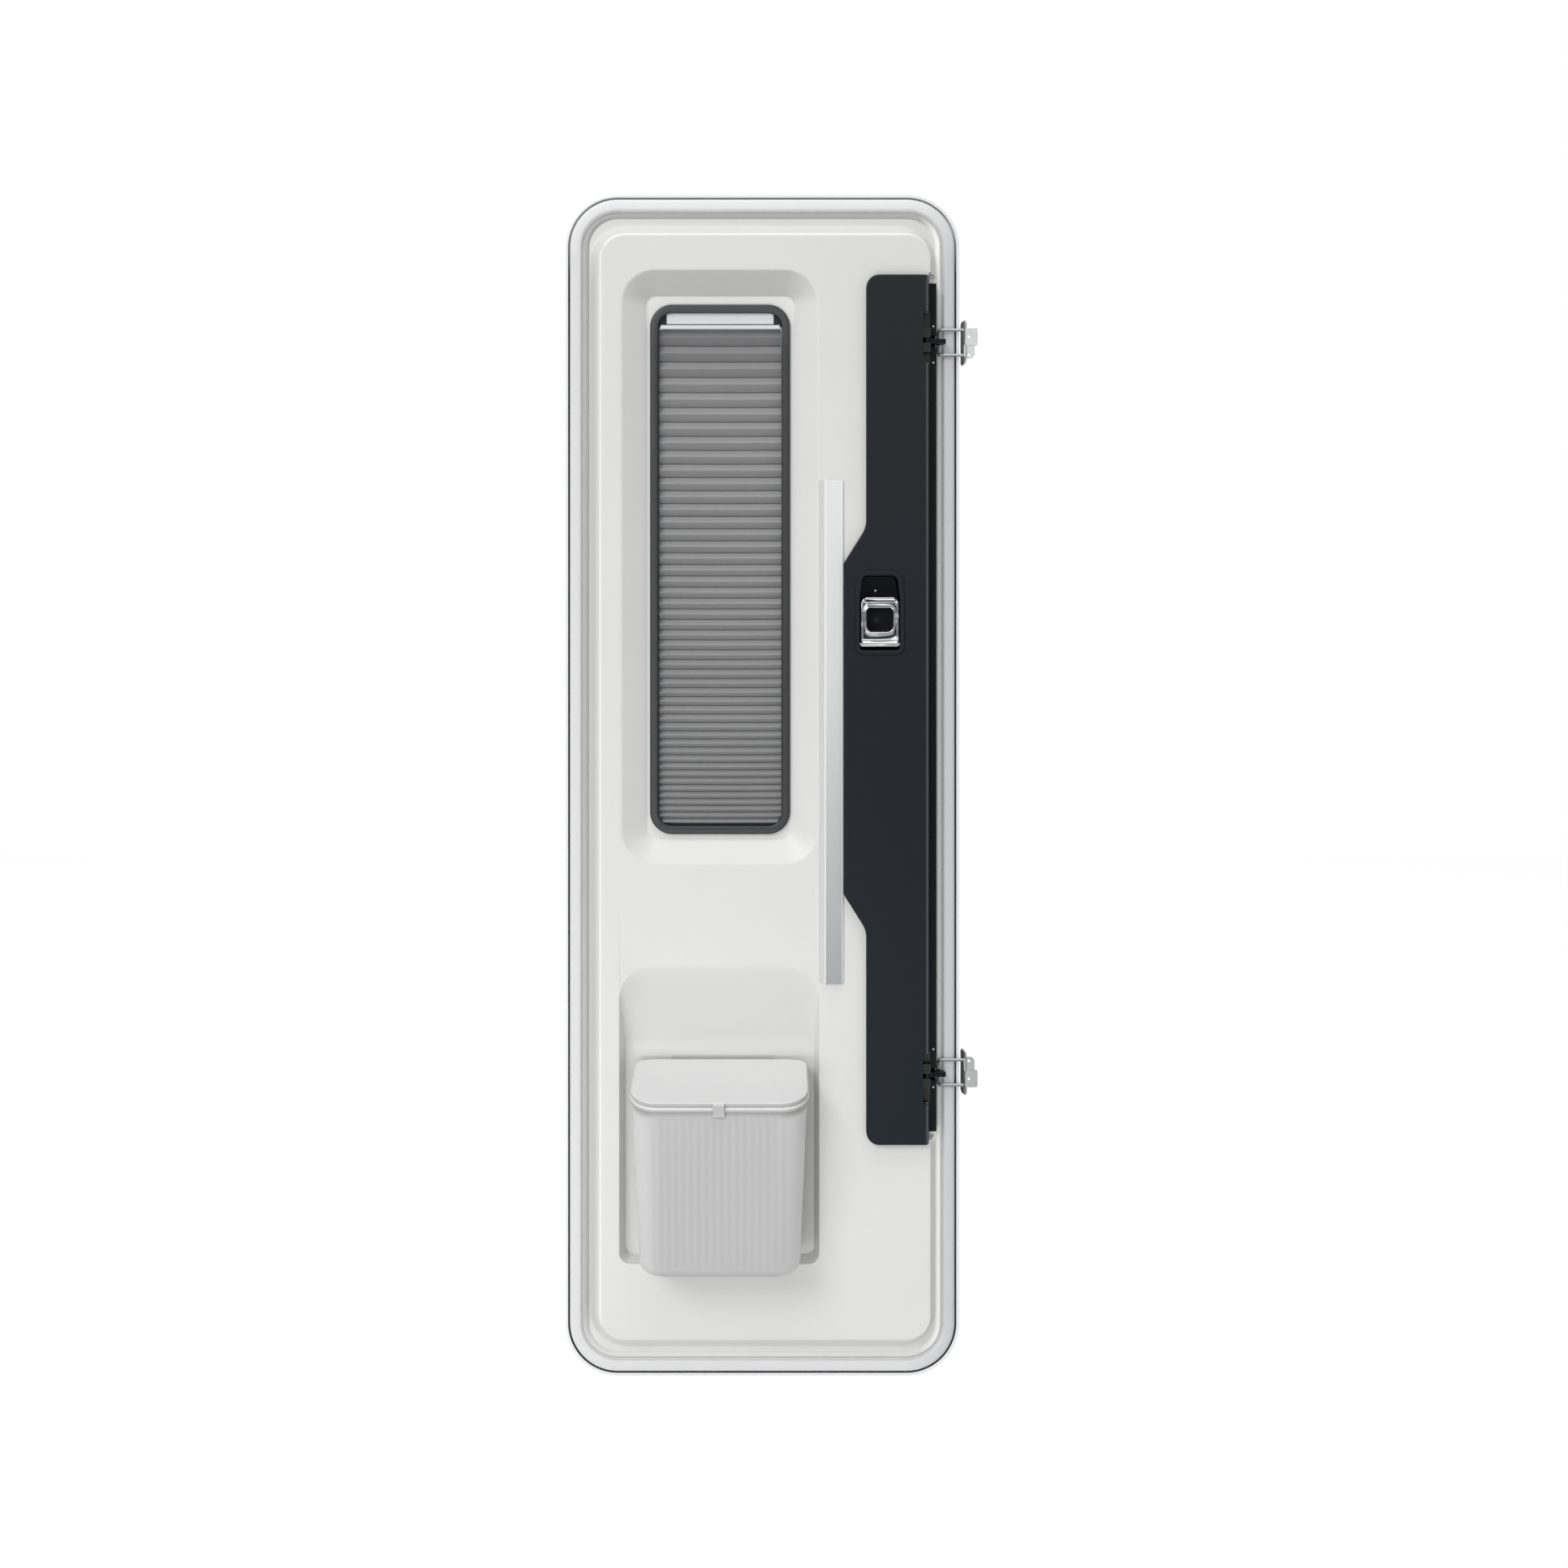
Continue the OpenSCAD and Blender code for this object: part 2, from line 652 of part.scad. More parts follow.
module window_frame_outer() {
    color("#2b2c2e") difference() {
        union() {
            slab(skin_y + outer_frame_h, skin_y)
                rounded(grow(cutout, frame_face - frame_wall), cutout_r + frame_face - frame_wall);
            slab(skin_y, pane_back_y) rounded(grow(cutout, -fit), cutout_r - fit);
        }
        slab(skin_y + outer_frame_h + past, pane_back_y - past) rounded(clear, clear_r);
    }
}

module blind_cassette() {
    color("white") intersection() {
        slab(pane_front_y - fit, blind_y - 1) rounded(grow(clear, -fit), clear_r - fit);
        block([clear[0] + cap_w, blind_y - 1, cassette_z],
            [clear[2] - cap_w, pane_front_y - fit, clear[3]]);
    }
}

module blind_end_caps() {
    color("#232426") intersection() {
        slab(pane_front_y - fit, blind_y) rounded(grow(clear, -fit), clear_r - fit);
        for (m = [0, 1]) translate([m * (clear[0] + clear[2]), 0, 0]) mirror([m, 0, 0])
            block([clear[0], blind_y, cassette_z - rail_gap],
                [clear[0] + cap_w, pane_front_y, clear[3]]);
    }
}

module blind_rail() {
    color("white") block([clear[0] + rail_side, blind_y - 2, rail_z],
        [clear[2] - rail_side, pane_front_y - 1, rail_z + rail_h]);
}

// Height of the fold before pleat i, counted down from the pull rail
function fold_z(i) = rail_z - first_pleat * (1 - pow(pleat_ratio, i)) / (1 - pleat_ratio);

module blind_pleats() {
    front = blind_y + 1;
    back = front + pleat_d - pleat_t;
    folds = concat([for (i = [0 : pleats - 1]) each
        [[front, fold_z(i)], [back, mix(fold_z(i), fold_z(i + 1), 0.5)]]],
        [[front, fold_z(pleats)]]);
    m = len(folds);
    color("gray") intersection() {
        slab(back + pleat_t + 1, front - 1) rounded(grow(clear, -fit), clear_r - fit);
        translate([clear[0] + rail_side, 0, 0]) rotate([90, 0, 90])
            linear_extrude(clear[2] - clear[0] - 2 * rail_side)
            polygon(concat(folds, [for (i = [m - 1 : -1 : 0]) folds[i] + [pleat_t, 0]]));
    }
}

// Outline of the lock cover, drawn in by d
function cover_outline(d) =
    let (lean = tan(shoulder_angle / 2),
         top_z = shoulder_top - shoulder_r * lean,
         low_z = shoulder_low + shoulder_r * lean,
         step = (cover_x0 - cover_mid_x) / tan(shoulder_angle))
    outline([[cover_x0 + d, cover_bottom + d, cover_r - d], [cover_x1 - d, cover_bottom + d, 4 - d],
        [cover_x1 - d, cover_z1 - d, 4 - d], [cover_x0 + d, cover_z1 - d, cover_r - d],
        [cover_x0 + d, top_z - d * lean, shoulder_r + d],
        [cover_mid_x + d, top_z - step - d * lean, 6 - d],
        [cover_mid_x + d, low_z + step + d * lean, 6 - d],
        [cover_x0 + d, low_z + d * lean, shoulder_r + d]], 6);

module lock_cover() {
    path = profile([[0, 0, 0], [0, cover_proud, cover_edge], [cover_edge + 0.5, cover_proud, 0]], 4);
    color("#2a2d31") difference() {
        loft([for (p = path) upright(cover_outline(p[0]), pan_y - p[1])]);
        slab(0, cover_y - past) rounded(grow(pocket, pocket_t + fit), pocket_r + pocket_t);
        at_latch(false) notch();
        at_latch(true) notch();
    }
}
module notch() {
    block([notch_x, cover_y - past, -notch_near], [cover_x1 + past, pan_y + past, notch_far]);
}

module lock_rail() {
    color("#1c1d1f") difference() {
        block([rail_x0, rail_y, rail_z0], [rail_x1, rail_back_y, rail_z1]);
        at_latch(false) rail_slot();
        at_latch(true) rail_slot();
    }
}
module rail_slot() {
    block([rail_x0 - past, rail_y - past, -claw_slot], [rail_x1 + past, rail_back_y - 3, claw_slot]);
    block([rail_x0 - past, rail_y - past, -notch_near], [neck_x, rail_back_y + past, notch_far]);
}

module latch_housing() {
    color("#26282a") difference() {
        block([notch_x + fit, house_front_y, -notch_near + fit],
            [neck_x - fit, rail_back_y, notch_far - fit]);
        block([notch_x - past, house_front_y - past, -house_slot],
            [neck_x + past, rail_back_y - 3, house_slot]);
        block([notch_x - past, house_front_y - past, 18], [neck_x + past, rail_y, notch_far]);
        block([notch_x - past, house_front_y - past, -notch_near], [neck_x + past, rail_y, -18]);
        translate([pivot[0], pivot[1], -14]) cylinder(r = pin_r, h = 28);
    }
}
module upper_latch_housing() at_latch(false) latch_housing();
module lower_latch_housing() at_latch(true) latch_housing();

module claw_pin() {
    color("silver") translate([pivot[0], pivot[1], -14 + fit]) cylinder(r = pin_r, h = 28 - 2 * fit);
}
module upper_claw_pin() at_latch(false) claw_pin();
module lower_claw_pin() at_latch(true) claw_pin();

// Wedge between two directions around the claw's pivot
module wedge(a, b) {
    reach = 2 * bar_reach;
    polygon([[0, 0], reach * [cos(a), sin(a)], reach * [cos(b), sin(b)]]);
}

// Hook whose faces are round about its own pivot, so it swings off the striker bar freely
module claw() {
    inner_r = bar_reach - wire_d / 2 - grip_gap;
    outer_r = bar_reach + wire_d / 2 + grip_gap;
    color("#3a3b3d") translate([pivot[0], pivot[1], -claw_t / 2]) linear_extrude(claw_t)
        difference() {
            union() {
                circle(boss_r);
                intersection() {
                    circle(outer_r + nose_t);
                    wedge(finger_angle - 26, finger_angle);
                }
                intersection() {
                    circle(inner_r);
                    wedge(finger_angle - 26, bar_angle + 8);
                }
                intersection() {
                    difference() {
                        circle(outer_r + nose_t);
                        circle(outer_r);
                    }
                    wedge(finger_angle - 4, bar_angle + 3);
                }
            }
            circle(pin_r + run_fit);
        }
}
module upper_claw() at_latch(false) claw();
module lower_claw() at_latch(true) claw();

// Wire loop in one plane: two legs, two bends and the bar that the claw holds
module striker_loop() {
    r = wire_d / 2;
    end_x = leaf_w + bracket_gap + bracket_t + 1.5;
    bend_x = bar[0] + wire_bend;
    color("silver") translate([0, bar[1], 0]) {
        for (s = [-1, 1]) {
            translate([bend_x, 0, s * leg_gap / 2]) rotate([0, 90, 0]) cylinder(r = r, h = end_x - bend_x);
            translate([bend_x, 0, s * (leg_gap / 2 - wire_bend)]) mirror([1, 0, 0])
                mirror([0, 0, s > 0 ? 0 : 1]) rotate([90, 0, 0]) rotate_extrude(angle = 90)
                translate([wire_bend, 0]) circle(r);
        }
        translate([bar[0], 0, -(leg_gap / 2 - wire_bend)]) cylinder(r = r, h = leg_gap - 2 * wire_bend);
    }
}
module upper_striker_loop() at_latch(false) striker_loop();
module lower_striker_loop() at_latch(true) striker_loop();

module striker_bracket() {
    x0 = leaf_w + bracket_gap;
    front_y = bar[1] - 6;
    screw_x = x0 + 10.5;
    screw_z = -5;
    color("silver") difference() {
        union() {
            block([x0, front_y, -bracket_h / 2], [x0 + bracket_t, front_y + bracket_d, bracket_h / 2]);
            slab(front_y + bracket_t, front_y) {
                rounded([x0, screw_z, x0 + screw_plate_w + 4, screw_z + screw_gap / 2 + 12.5], 3);
                rounded([x0, screw_z - screw_gap / 2 - 7, x0 + screw_plate_w - 3, screw_z + 6], 3);
            }
        }
        for (s = [-1, 1]) translate([x0 - past, bar[1], s * leg_gap / 2]) rotate([0, 90, 0])
            cylinder(r = wire_d / 2, h = bracket_t + 2 * past);
        for (s = [-1, 1]) translate([screw_x, front_y + bracket_t + past, screw_z + s * screw_gap / 2])
            rotate([90, 0, 0]) cylinder(r = screw_r, h = bracket_t + 2 * past);
    }
}
module upper_striker_bracket() at_latch(false) striker_bracket();
module lower_striker_bracket() at_latch(true) striker_bracket();

module handle_cup() {
    color("#232529") difference() {
        union() {
            slab(pocket_y + pocket_t, surround_y) rounded(grow(pocket, pocket_t), pocket_r + pocket_t);
            slab(cover_y, surround_y) rounded(grow(pocket, surround_w), pocket_r + surround_w);
        }
        slab(pocket_y, surround_y - past) rounded(pocket, pocket_r);
        translate([pocket[0] - pocket_t * 0.7, pivot_y, handle_z]) rotate([0, 90, 0])
            cylinder(r = handle_pin_r, h = pocket[2] - pocket[0] + pocket_t * 1.4);
        translate([handle_x - 3, 0, handle_z + handle_h / 2]) rotate([90, 0, 0]) cylinder(r = 4.9, h = pan_d);
    }
}

module inner_handle() {
    x0 = handle_x - handle_w / 2;
    x1 = handle_x + handle_w / 2;
    color("silver") difference() {
        union() {
            slab(handle_y, handle_y - handle_t) polygon([for (p = outline([[x0, handle_z, 1],
                [x1, handle_z, 1], [x1, handle_z1 - 10, 4], [x1 - 5, handle_z1, 4],
                [x0 + 5, handle_z1, 4], [x0, handle_z1 - 10, 4]], 5)) p]);
            slab(handle_y, handle_y - handle_t - 3)
                rounded([x0 + 5, handle_z1 - handle_top + 3, x1 - 5, handle_z1], 3);
            translate([x0, pivot_y, handle_z]) rotate([0, 90, 0]) cylinder(r = handle_t / 2, h = handle_w);
        }
        slab(handle_y + past, handle_y - handle_t - 3 - past)
            rounded([x0 + handle_bar, handle_z0 + handle_foot, x1 - handle_bar, handle_z1 - handle_top], 7);
        translate([x0 - past, pivot_y, handle_z]) rotate([0, 90, 0])
            cylinder(r = handle_pin_r + run_fit, h = handle_w + 2 * past);
    }
}

module handle_pin() {
    color("silver") translate([pocket[0] - pocket_t * 0.7 + 0.1, pivot_y, handle_z]) rotate([0, 90, 0])
        cylinder(r = handle_pin_r, h = pocket[2] - pocket[0] + pocket_t * 1.4 - 0.2);
}

module light_strip() {
    path = profile([[0, 0, 0], [0, strip_proud, 1.2], [2, strip_proud, 0]], 3);
    b = [strip_x0, strip_z, strip_x1, strip_z + strip_len];
    color("lightgray") loft([for (p = path) upright(box_outline(grow(b, -p[0]), 3 - p[0]), pan_y - p[1])]);
}

module bin_hanger() {
    x0 = bin_x - hanger_w / 2;
    x1 = bin_x + hanger_w / 2;
    lip_front = bin_wall_y - 4 * hanger_t;
    color("silver") {
        block([x0, bin_wall_y - hanger_t, hang_z], [x1, bin_wall_y, bin_hinge_z + hang_rise]);
        block([x0, lip_front, hang_z], [x1, bin_wall_y, hang_z + hanger_t]);
        block([x0, lip_front, hang_z], [x1, lip_front + hanger_t, hang_z + hang_lip]);
    }
}

// Hook on the back of the bin that drops behind the hanger's lip
module bin_hook() {
    x0 = bin_x - hook_w / 2;
    x1 = bin_x + hook_w / 2;
    web_z = hang_z + hang_lip + 1;
    leg_back = bin_wall_y - hanger_t - 0.9;
    leg_front = bin_wall_y - 3 * hanger_t + 0.3;
    block([x0, bin_rear_y - past, web_z], [x1, leg_back, web_z + hanger_t]);
    block([x0, leg_front, hang_z + hanger_t + fit], [x1, leg_back, web_z + hanger_t]);
}

// Plan of the bin at share t of its height, drawn in by d
function bin_plan(t, d) =
    let (half = mix(bin_foot_w, bin_w, t) / 2 - d)
    box_outline([bin_x - half, bin_rear_y - mix(bin_foot_d, bin_d, t) + d,
        bin_x + half, bin_rear_y - d], [bin_front_r - d, bin_front_r - d, bin_rear_r - d, bin_rear_r - d]);

module bin_solid(wall, floor) {
    full = bin_hinge_z + 12 - bin_z;
    path = profile([[bin_foot_r * 0.7, floor, 0], [wall, floor, bin_foot_r * 0.6],
        [wall, full, 0]], 5);
    loft([for (p = path) level(bin_plan(p[1] / full, p[0]), bin_z + p[1])]);
}

module bin_body() {
    color("white") difference() {
        union() {
            difference() {
                union() {
                    difference() {
                        bin_solid(0, 0);
                        on_lid() translate([-lid_w, -lid_w, -fit - 2]) cube(2 * lid_w);
                    }
                    on_lid() translate([0, 0, -fit - rim_h]) linear_extrude(rim_h) rim_plan(0.6);
                    bin_hook();
                }
                bin_solid(bin_wall, bin_wall);
            }
            for (m = [0, 1]) on_lid() mirror([m, 0, 0]) rotate([0, 90, 0])
                translate([0, 0, barrel_w / 2 + 0.5]) linear_extrude(ear_w - 1) {
                    translate([-lid_axis_z, 0]) circle(lid_axis_z);
                    translate([-lid_axis_z, -lid_axis_z]) square([lid_axis_z + rim_h, 2 * lid_axis_z]);
                }
        }
        on_lid() translate([-lid_w / 2, 0, lid_axis_z]) rotate([0, 90, 0]) cylinder(r = lid_pin_r, h = lid_w);
    }
}

// Flat plan of the rim, drawn in by d at its front and sides
module rim_plan(d) {
    polygon([for (p = outline([[-lid_w / 2 + d, -lid_d + d, bin_front_r], [lid_w / 2 - d, -lid_d + d, bin_front_r],
        [lid_w / 2 - d, 0, bin_rear_r], [-lid_w / 2 + d, 0, bin_rear_r]])) p]);
}

// Plan of the lid, drawn in by d all round
function lid_ring(d) =
    let (s = lid_inset + d)
    box_outline([-lid_w / 2 + s, -lid_d + s, lid_w / 2 - s, -d],
        [bin_front_r - s, bin_front_r - s, bin_rear_r - d, bin_rear_r - d]);

module bin_lid() {
    path = profile([[0, 0, 0], [0, lid_h - 1, 3], [9, lid_h, 0], [14, lid_h, 0]], 4);
    color("white") on_lid() difference() {
        union() {
            loft([for (p = path) level(lid_ring(p[0]), p[1])]);
            translate([-barrel_w / 2, 0, lid_axis_z]) rotate([0, 90, 0])
                cylinder(r = lid_axis_z, h = barrel_w);
        }
        difference() {
            loft([level(lid_ring(lid_wall), -past), level(lid_ring(lid_wall), lid_h - lid_wall - 1)]);
            translate([-barrel_w / 2 - 1, -lid_h, -2 * past]) cube([barrel_w + 2, 2 * lid_h, 2 * lid_h]);
        }
        for (m = [0, 1]) mirror([m, 0, 0])
            translate([barrel_w / 2, -lid_h, -past]) cube([ear_w, 2 * lid_h, lid_h + 3 * past]);
        translate([-barrel_w, 0, lid_axis_z]) rotate([0, 90, 0])
            cylinder(r = lid_pin_r + run_fit, h = 2 * barrel_w);
    }
}

module bin_lid_pin() {
    color("silver") on_lid() translate([-barrel_w / 2 - ear_w + 0.6, 0, lid_axis_z]) rotate([0, 90, 0])
        cylinder(r = lid_pin_r, h = barrel_w + 2 * ear_w - 1.2);
}

module bin_clasp() {
    color("white") on_lid() {
        block([-clasp_w / 2, -lid_d - 2.5, -12], [clasp_w / 2, -lid_d, lid_h - 3]);
        block([-clasp_w / 2, -lid_d - 0.5, 0], [clasp_w / 2, -lid_d + lid_inset, lid_h - 3]);
        block([-clasp_w / 2, -lid_d - 4, -12], [clasp_w / 2, -lid_d - 2, -9.5]);
    }
}

module outer_handle_plate() {
    color("#232529") difference() {
        union() {
            slab(outer_y, skin_y) rounded(outer_plate, 16);
            slab(skin_y, outer_cup_y - pocket_t) rounded(grow(outer_cup, pocket_t), outer_cup_r);
        }
        slab(outer_y + past, outer_cup_y) rounded(outer_cup, outer_cup_r);
        translate([handle_x, outer_y + past, barrel_z]) rotate([90, 0, 0])
            cylinder(r = barrel_r + 0.1, h = outer_plate_t + 2 * past);
    }
}

module outer_handle_flap() {
    color("#2a2d31") slab(outer_y - 1, outer_y - 6)
        rounded([outer_cup[0] + fit, outer_z - 4, outer_cup[2] - fit, outer_cup[3] - fit], outer_cup_r - fit);
}

module lock_barrel() {
    color("silver") translate([handle_x, outer_y + 1.5, barrel_z]) rotate([90, 0, 0]) difference() {
        cylinder(r = barrel_r, h = outer_y + 1.5 - barrel_y);
        translate([-1.2, -4, -past]) cube([2.4, 8, 7]);
    }
}

// Puts the origin on the hinge side face, half way up
module placed() {
    translate([0, profile_d / 2, -leaf_h / 2]) children();
}

placed() outer_skin();
placed() edge_profile();
placed() rim_seal();
placed() panel_bead();
placed() inner_panel();
placed() window_pane();
placed() window_frame_inner();
placed() window_frame_outer();
placed() blind_cassette();
placed() blind_end_caps();
placed() blind_rail();
placed() blind_pleats();
placed() lock_cover();
placed() lock_rail();
placed() upper_latch_housing();
placed() lower_latch_housing();
placed() upper_claw();
placed() lower_claw();
placed() upper_claw_pin();
placed() lower_claw_pin();
placed() upper_striker_loop();
placed() lower_striker_loop();
placed() upper_striker_bracket();
placed() lower_striker_bracket();
placed() handle_cup();
placed() inner_handle();
placed() handle_pin();
placed() light_strip();
placed() bin_hanger();
placed() bin_body();
placed() bin_lid();
placed() bin_lid_pin();
placed() bin_clasp();
placed() outer_handle_plate();
placed() outer_handle_flap();
placed() lock_barrel();
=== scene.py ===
# %% [markdown]
# # Caravan entry door leaf
# The door leaf is seen from the living side. An aluminium profile with a pale rubber seal runs round
# it, and inside that sits one large vacuum formed panel. The panel has a window recess with a
# pleated blind, a recess with a waste bin, a light strip and a dark lock cover with a chrome handle.
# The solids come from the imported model. Here they get their finishes, and the moulded pieces
# are made again with the soft edges that forming leaves.

# %% Load the solids
import math
import bpy
import bmesh
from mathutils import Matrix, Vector


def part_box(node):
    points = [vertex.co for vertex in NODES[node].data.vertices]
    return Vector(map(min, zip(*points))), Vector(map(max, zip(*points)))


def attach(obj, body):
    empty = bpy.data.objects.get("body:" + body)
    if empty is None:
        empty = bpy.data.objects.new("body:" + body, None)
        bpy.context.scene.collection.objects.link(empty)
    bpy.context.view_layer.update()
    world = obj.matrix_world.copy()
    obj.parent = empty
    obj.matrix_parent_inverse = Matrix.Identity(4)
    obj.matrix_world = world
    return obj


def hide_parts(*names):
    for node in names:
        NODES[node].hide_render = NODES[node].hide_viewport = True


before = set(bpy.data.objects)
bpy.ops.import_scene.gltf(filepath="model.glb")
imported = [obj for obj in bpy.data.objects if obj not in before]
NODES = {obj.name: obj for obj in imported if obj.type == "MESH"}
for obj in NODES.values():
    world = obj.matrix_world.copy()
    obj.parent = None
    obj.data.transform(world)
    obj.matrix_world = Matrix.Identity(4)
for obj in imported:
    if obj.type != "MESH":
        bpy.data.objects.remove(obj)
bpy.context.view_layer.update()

# %% [markdown]
# ## Leaf millimetres
# On a drawing of a door one measures in millimetres from the hinge edge and the bottom edge, with
# depth counted from the outer face. All pieces below are written in those numbers, and one function
# turns them into metres in the model's frame. Depths towards the room are negative.

# %% From the drawing to the model
ORIGIN = (0, -13, 900)
LEAF, LEAF_CORNER = [0, 0, 600, 1800], 80
FLANGE, PAN, LAND, BIN_WALL = -22.0, -45.0, -21.0, -17.0


def at(x, y, z):
    """The model's point for a point of the drawing."""
    return Vector([(value - start) / 1000 for value, start in zip((x, y, z), ORIGIN)])


def leaf_box(node):
    """The box of a solid on the drawing: three low values, then three high ones."""
    return [end[i] * 1000 + ORIGIN[i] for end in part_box(node) for i in range(3)]


print("panel in drawing millimetres:", [round(v, 1) for v in leaf_box("inner_panel")])

# %% [markdown]
# ## Shader maths as Python
# A finish is a sum of small effects: a tint, a grain, a shade at an edge. Such sums read best as
# plain expressions, so a small class stands for a socket, and each operator adds a Math node.

# %% A socket that can be calculated with
class Value:
    def __init__(self, paint, socket):
        self.paint = paint
        self.socket = socket

    def within(self, low, high):
        """1 between two limits, 0 outside them."""
        return self.over(low) * self.under(high)

    def rise(self, start, length):
        """0 before a start, then a soft step up to 1 over a length."""
        return ((self - start) / length).least(1.0).most(0.0)

    def fall(self, end, length):
        """A soft step down from 1 to 0 over a length that stops at an end."""
        return ((end - self) / length).least(1.0).most(0.0)


def math_method(operation, swapped=False):
    """A method that adds one Math node. Swapped is for a number that stands before the socket."""
    def method(self, other=None):
        pair = (other, self) if swapped else (self, other)
        inputs = {0: self} if other is None else dict(enumerate(pair))
        return self.paint.node("ShaderNodeMath", {"operation": operation}, inputs)
    return method


SIGNS = {"add": "ADD", "sub": "SUBTRACT", "mul": "MULTIPLY", "truediv": "DIVIDE", "pow": "POWER"}
WORDS = {"over": "GREATER_THAN", "under": "LESS_THAN", "least": "MINIMUM", "most": "MAXIMUM",
         "wave": "SINE", "size": "ABSOLUTE"}
for word, operation in SIGNS.items():
    setattr(Value, f"__{word}__", math_method(operation))
    setattr(Value, f"__r{word}__", math_method(operation, swapped=True))
for word, operation in WORDS.items():
    setattr(Value, word, math_method(operation))
print("operators:", *SIGNS, *WORDS)

# %% [markdown]
# ## A finish
# Each finish is one Principled shader. Its fixed numbers are set on the shader itself, and only
# what changes over the surface is linked: colour, roughness and the bump that bends the light.
# Where a tone follows the place on a piece, the place is read in the drawing's millimetres.

# %% The finish and its helpers
def linear(colour):
    """Turns a colour from a chart, such as #dcdcd6, into the light that Blender reckons with."""
    parts = [int(colour[i:i + 2], 16) / 255 for i in (1, 3, 5)]
    return tuple(c / 12.92 if c <= 0.04045 else ((c + 0.055) / 1.055) ** 2.4 for c in parts) + (1.0,)


def set_stops(ramp, stops):
    """Gives a colour ramp its stops: pairs of a position and a chart colour or a grey value."""
    while len(ramp) < len(stops):
        ramp.new(1.0)
    for stop, (where, colour) in zip(ramp, stops):
        stop.position = where
        stop.color = linear(colour) if isinstance(colour, str) else (colour,) * 3 + (1.0,)


class Nodes:
    def __init__(self, tree):
        self.tree = tree

    def node(self, kind, settings, inputs, output=0):
        made = self.tree.nodes.new(kind)
        for key, value in settings.items():
            setattr(made, key, value)
        for key, value in inputs.items():
            if isinstance(value, Value):
                self.tree.links.new(value.socket, made.inputs[key])
            else:
                made.inputs[key].default_value = linear(value) if isinstance(value, str) else value
        return Value(self, made.outputs[output])


class Finish(Nodes):
    def __init__(self, name, **fixed):
        self.material = bpy.data.materials.new(name)
        self.material.use_nodes = True
        super().__init__(self.material.node_tree)
        self.shader = self.tree.nodes["Principled BSDF"]
        for key, value in fixed.items():
            self.shader.inputs[key.replace("_", " ")].default_value = value
        self.place = self.node("ShaderNodeTexCoord", {}, {}, "Object")

    def noise(self, scale, detail=3.0, rough=0.5, place=None):
        return self.node("ShaderNodeTexNoise", {}, {"Vector": place or self.place, "Scale": scale,
                                                    "Detail": detail, "Roughness": rough}, "Fac")

    def stretched(self, x, y, z):
        return self.node("ShaderNodeMapping", {}, {"Vector": self.place, "Scale": (x, y, z)})

    def drawing(self, letter):
        """How far along an axis of the drawing the surface is, in millimetres."""
        along = self.node("ShaderNodeSeparateXYZ", {}, {"Vector": self.place}, letter.upper())
        return along * 1000 + ORIGIN["xyz".index(letter)]

    def ramp(self, value, *stops):
        made = self.node("ShaderNodeValToRGB", {}, {"Fac": value}, "Color")
        set_stops(made.socket.node.color_ramp.elements, stops)
        return made

    def mix(self, share, a, b):
        return self.node("ShaderNodeMix", {"data_type": "RGBA"}, {0: share, 6: a, 7: b}, 2)

    def bump(self, height, strength, distance):
        return self.node("ShaderNodeBump", {}, {"Height": height, "Strength": strength,
                                                "Distance": distance})

    def link(self, **to):
        for key, value in to.items():
            self.tree.links.new(value.socket, self.shader.inputs[key.replace("_", " ")])
        return self.material

    def coat(self, colour, grain, roughness, spread, strength, distance=0.0001, relief=None):
        """Links a colour, a grain that spreads the roughness, and a relief, mostly the same grain."""
        return self.link(Base_Color=colour, Roughness=roughness + (grain - 0.5) * spread,
                         Normal=self.bump(relief or grain, strength, distance))


print("finish helper ready")

# %% [markdown]
# ## Rounded outlines and lofts
# Formed and moulded parts are stacks of rounded outlines. One function rounds the corners of an
# outline, one lifts an outline to its depth, and one turns a short profile, with a radius at each
# of its corners, into the steps of a soft edge.

# %% Outlines
def arc(a, b, c, radius, steps):
    """The rounding of the corner b between a and c, as steps + 1 points."""
    a, b, c = Vector(a), Vector(b), Vector(c)
    d1, d2 = (a - b).normalized(), (c - b).normalized()
    half = math.acos(max(-1, min(1, d1.dot(d2)))) / 2
    if radius < 1e-4 or abs(half - math.pi / 2) < 1e-4:
        return [b.copy() for _ in range(steps + 1)]
    middle = b + (d1 + d2).normalized() * radius / math.sin(half)
    start = b + d1 * radius / math.tan(half) - middle
    end = b + d2 * radius / math.tan(half) - middle
    a0 = math.atan2(start.y, start.x)
    turn = (math.atan2(end.y, end.x) - a0 + math.pi * 3) % (2 * math.pi) - math.pi
    angles = [a0 + turn * i / steps for i in range(steps + 1)]
    return [middle + radius * Vector((math.cos(t), math.sin(t))) for t in angles]


def outline(corners, steps=12):
    """A closed outline from corners, each given as (x, z, radius)."""
    points = []
    for i, (x, z, radius) in enumerate(corners):
        before, after = corners[i - 1], corners[(i + 1) % len(corners)]
        points += arc(before[:2], (x, z), after[:2], radius, steps)
    return points


def box_outline(box, radius, steps=12):
    """A rounded rectangle from (left, foot, right, top), with one radius or four."""
    left, foot, right, top = box
    r = radius if isinstance(radius, list) else [radius] * 4
    return outline([(left, foot, r[0]), (right, foot, r[1]), (right, top, r[2]), (left, top, r[3])], steps)


def grow(box, d):
    return [box[0] - d, box[1] - d, box[2] + d, box[3] + d]


def between(a, b, t):
    """Goes a share t of the way from the numbers or points of a to those of b."""
    return [p + (q - p) * t for p, q in zip(a, b)]


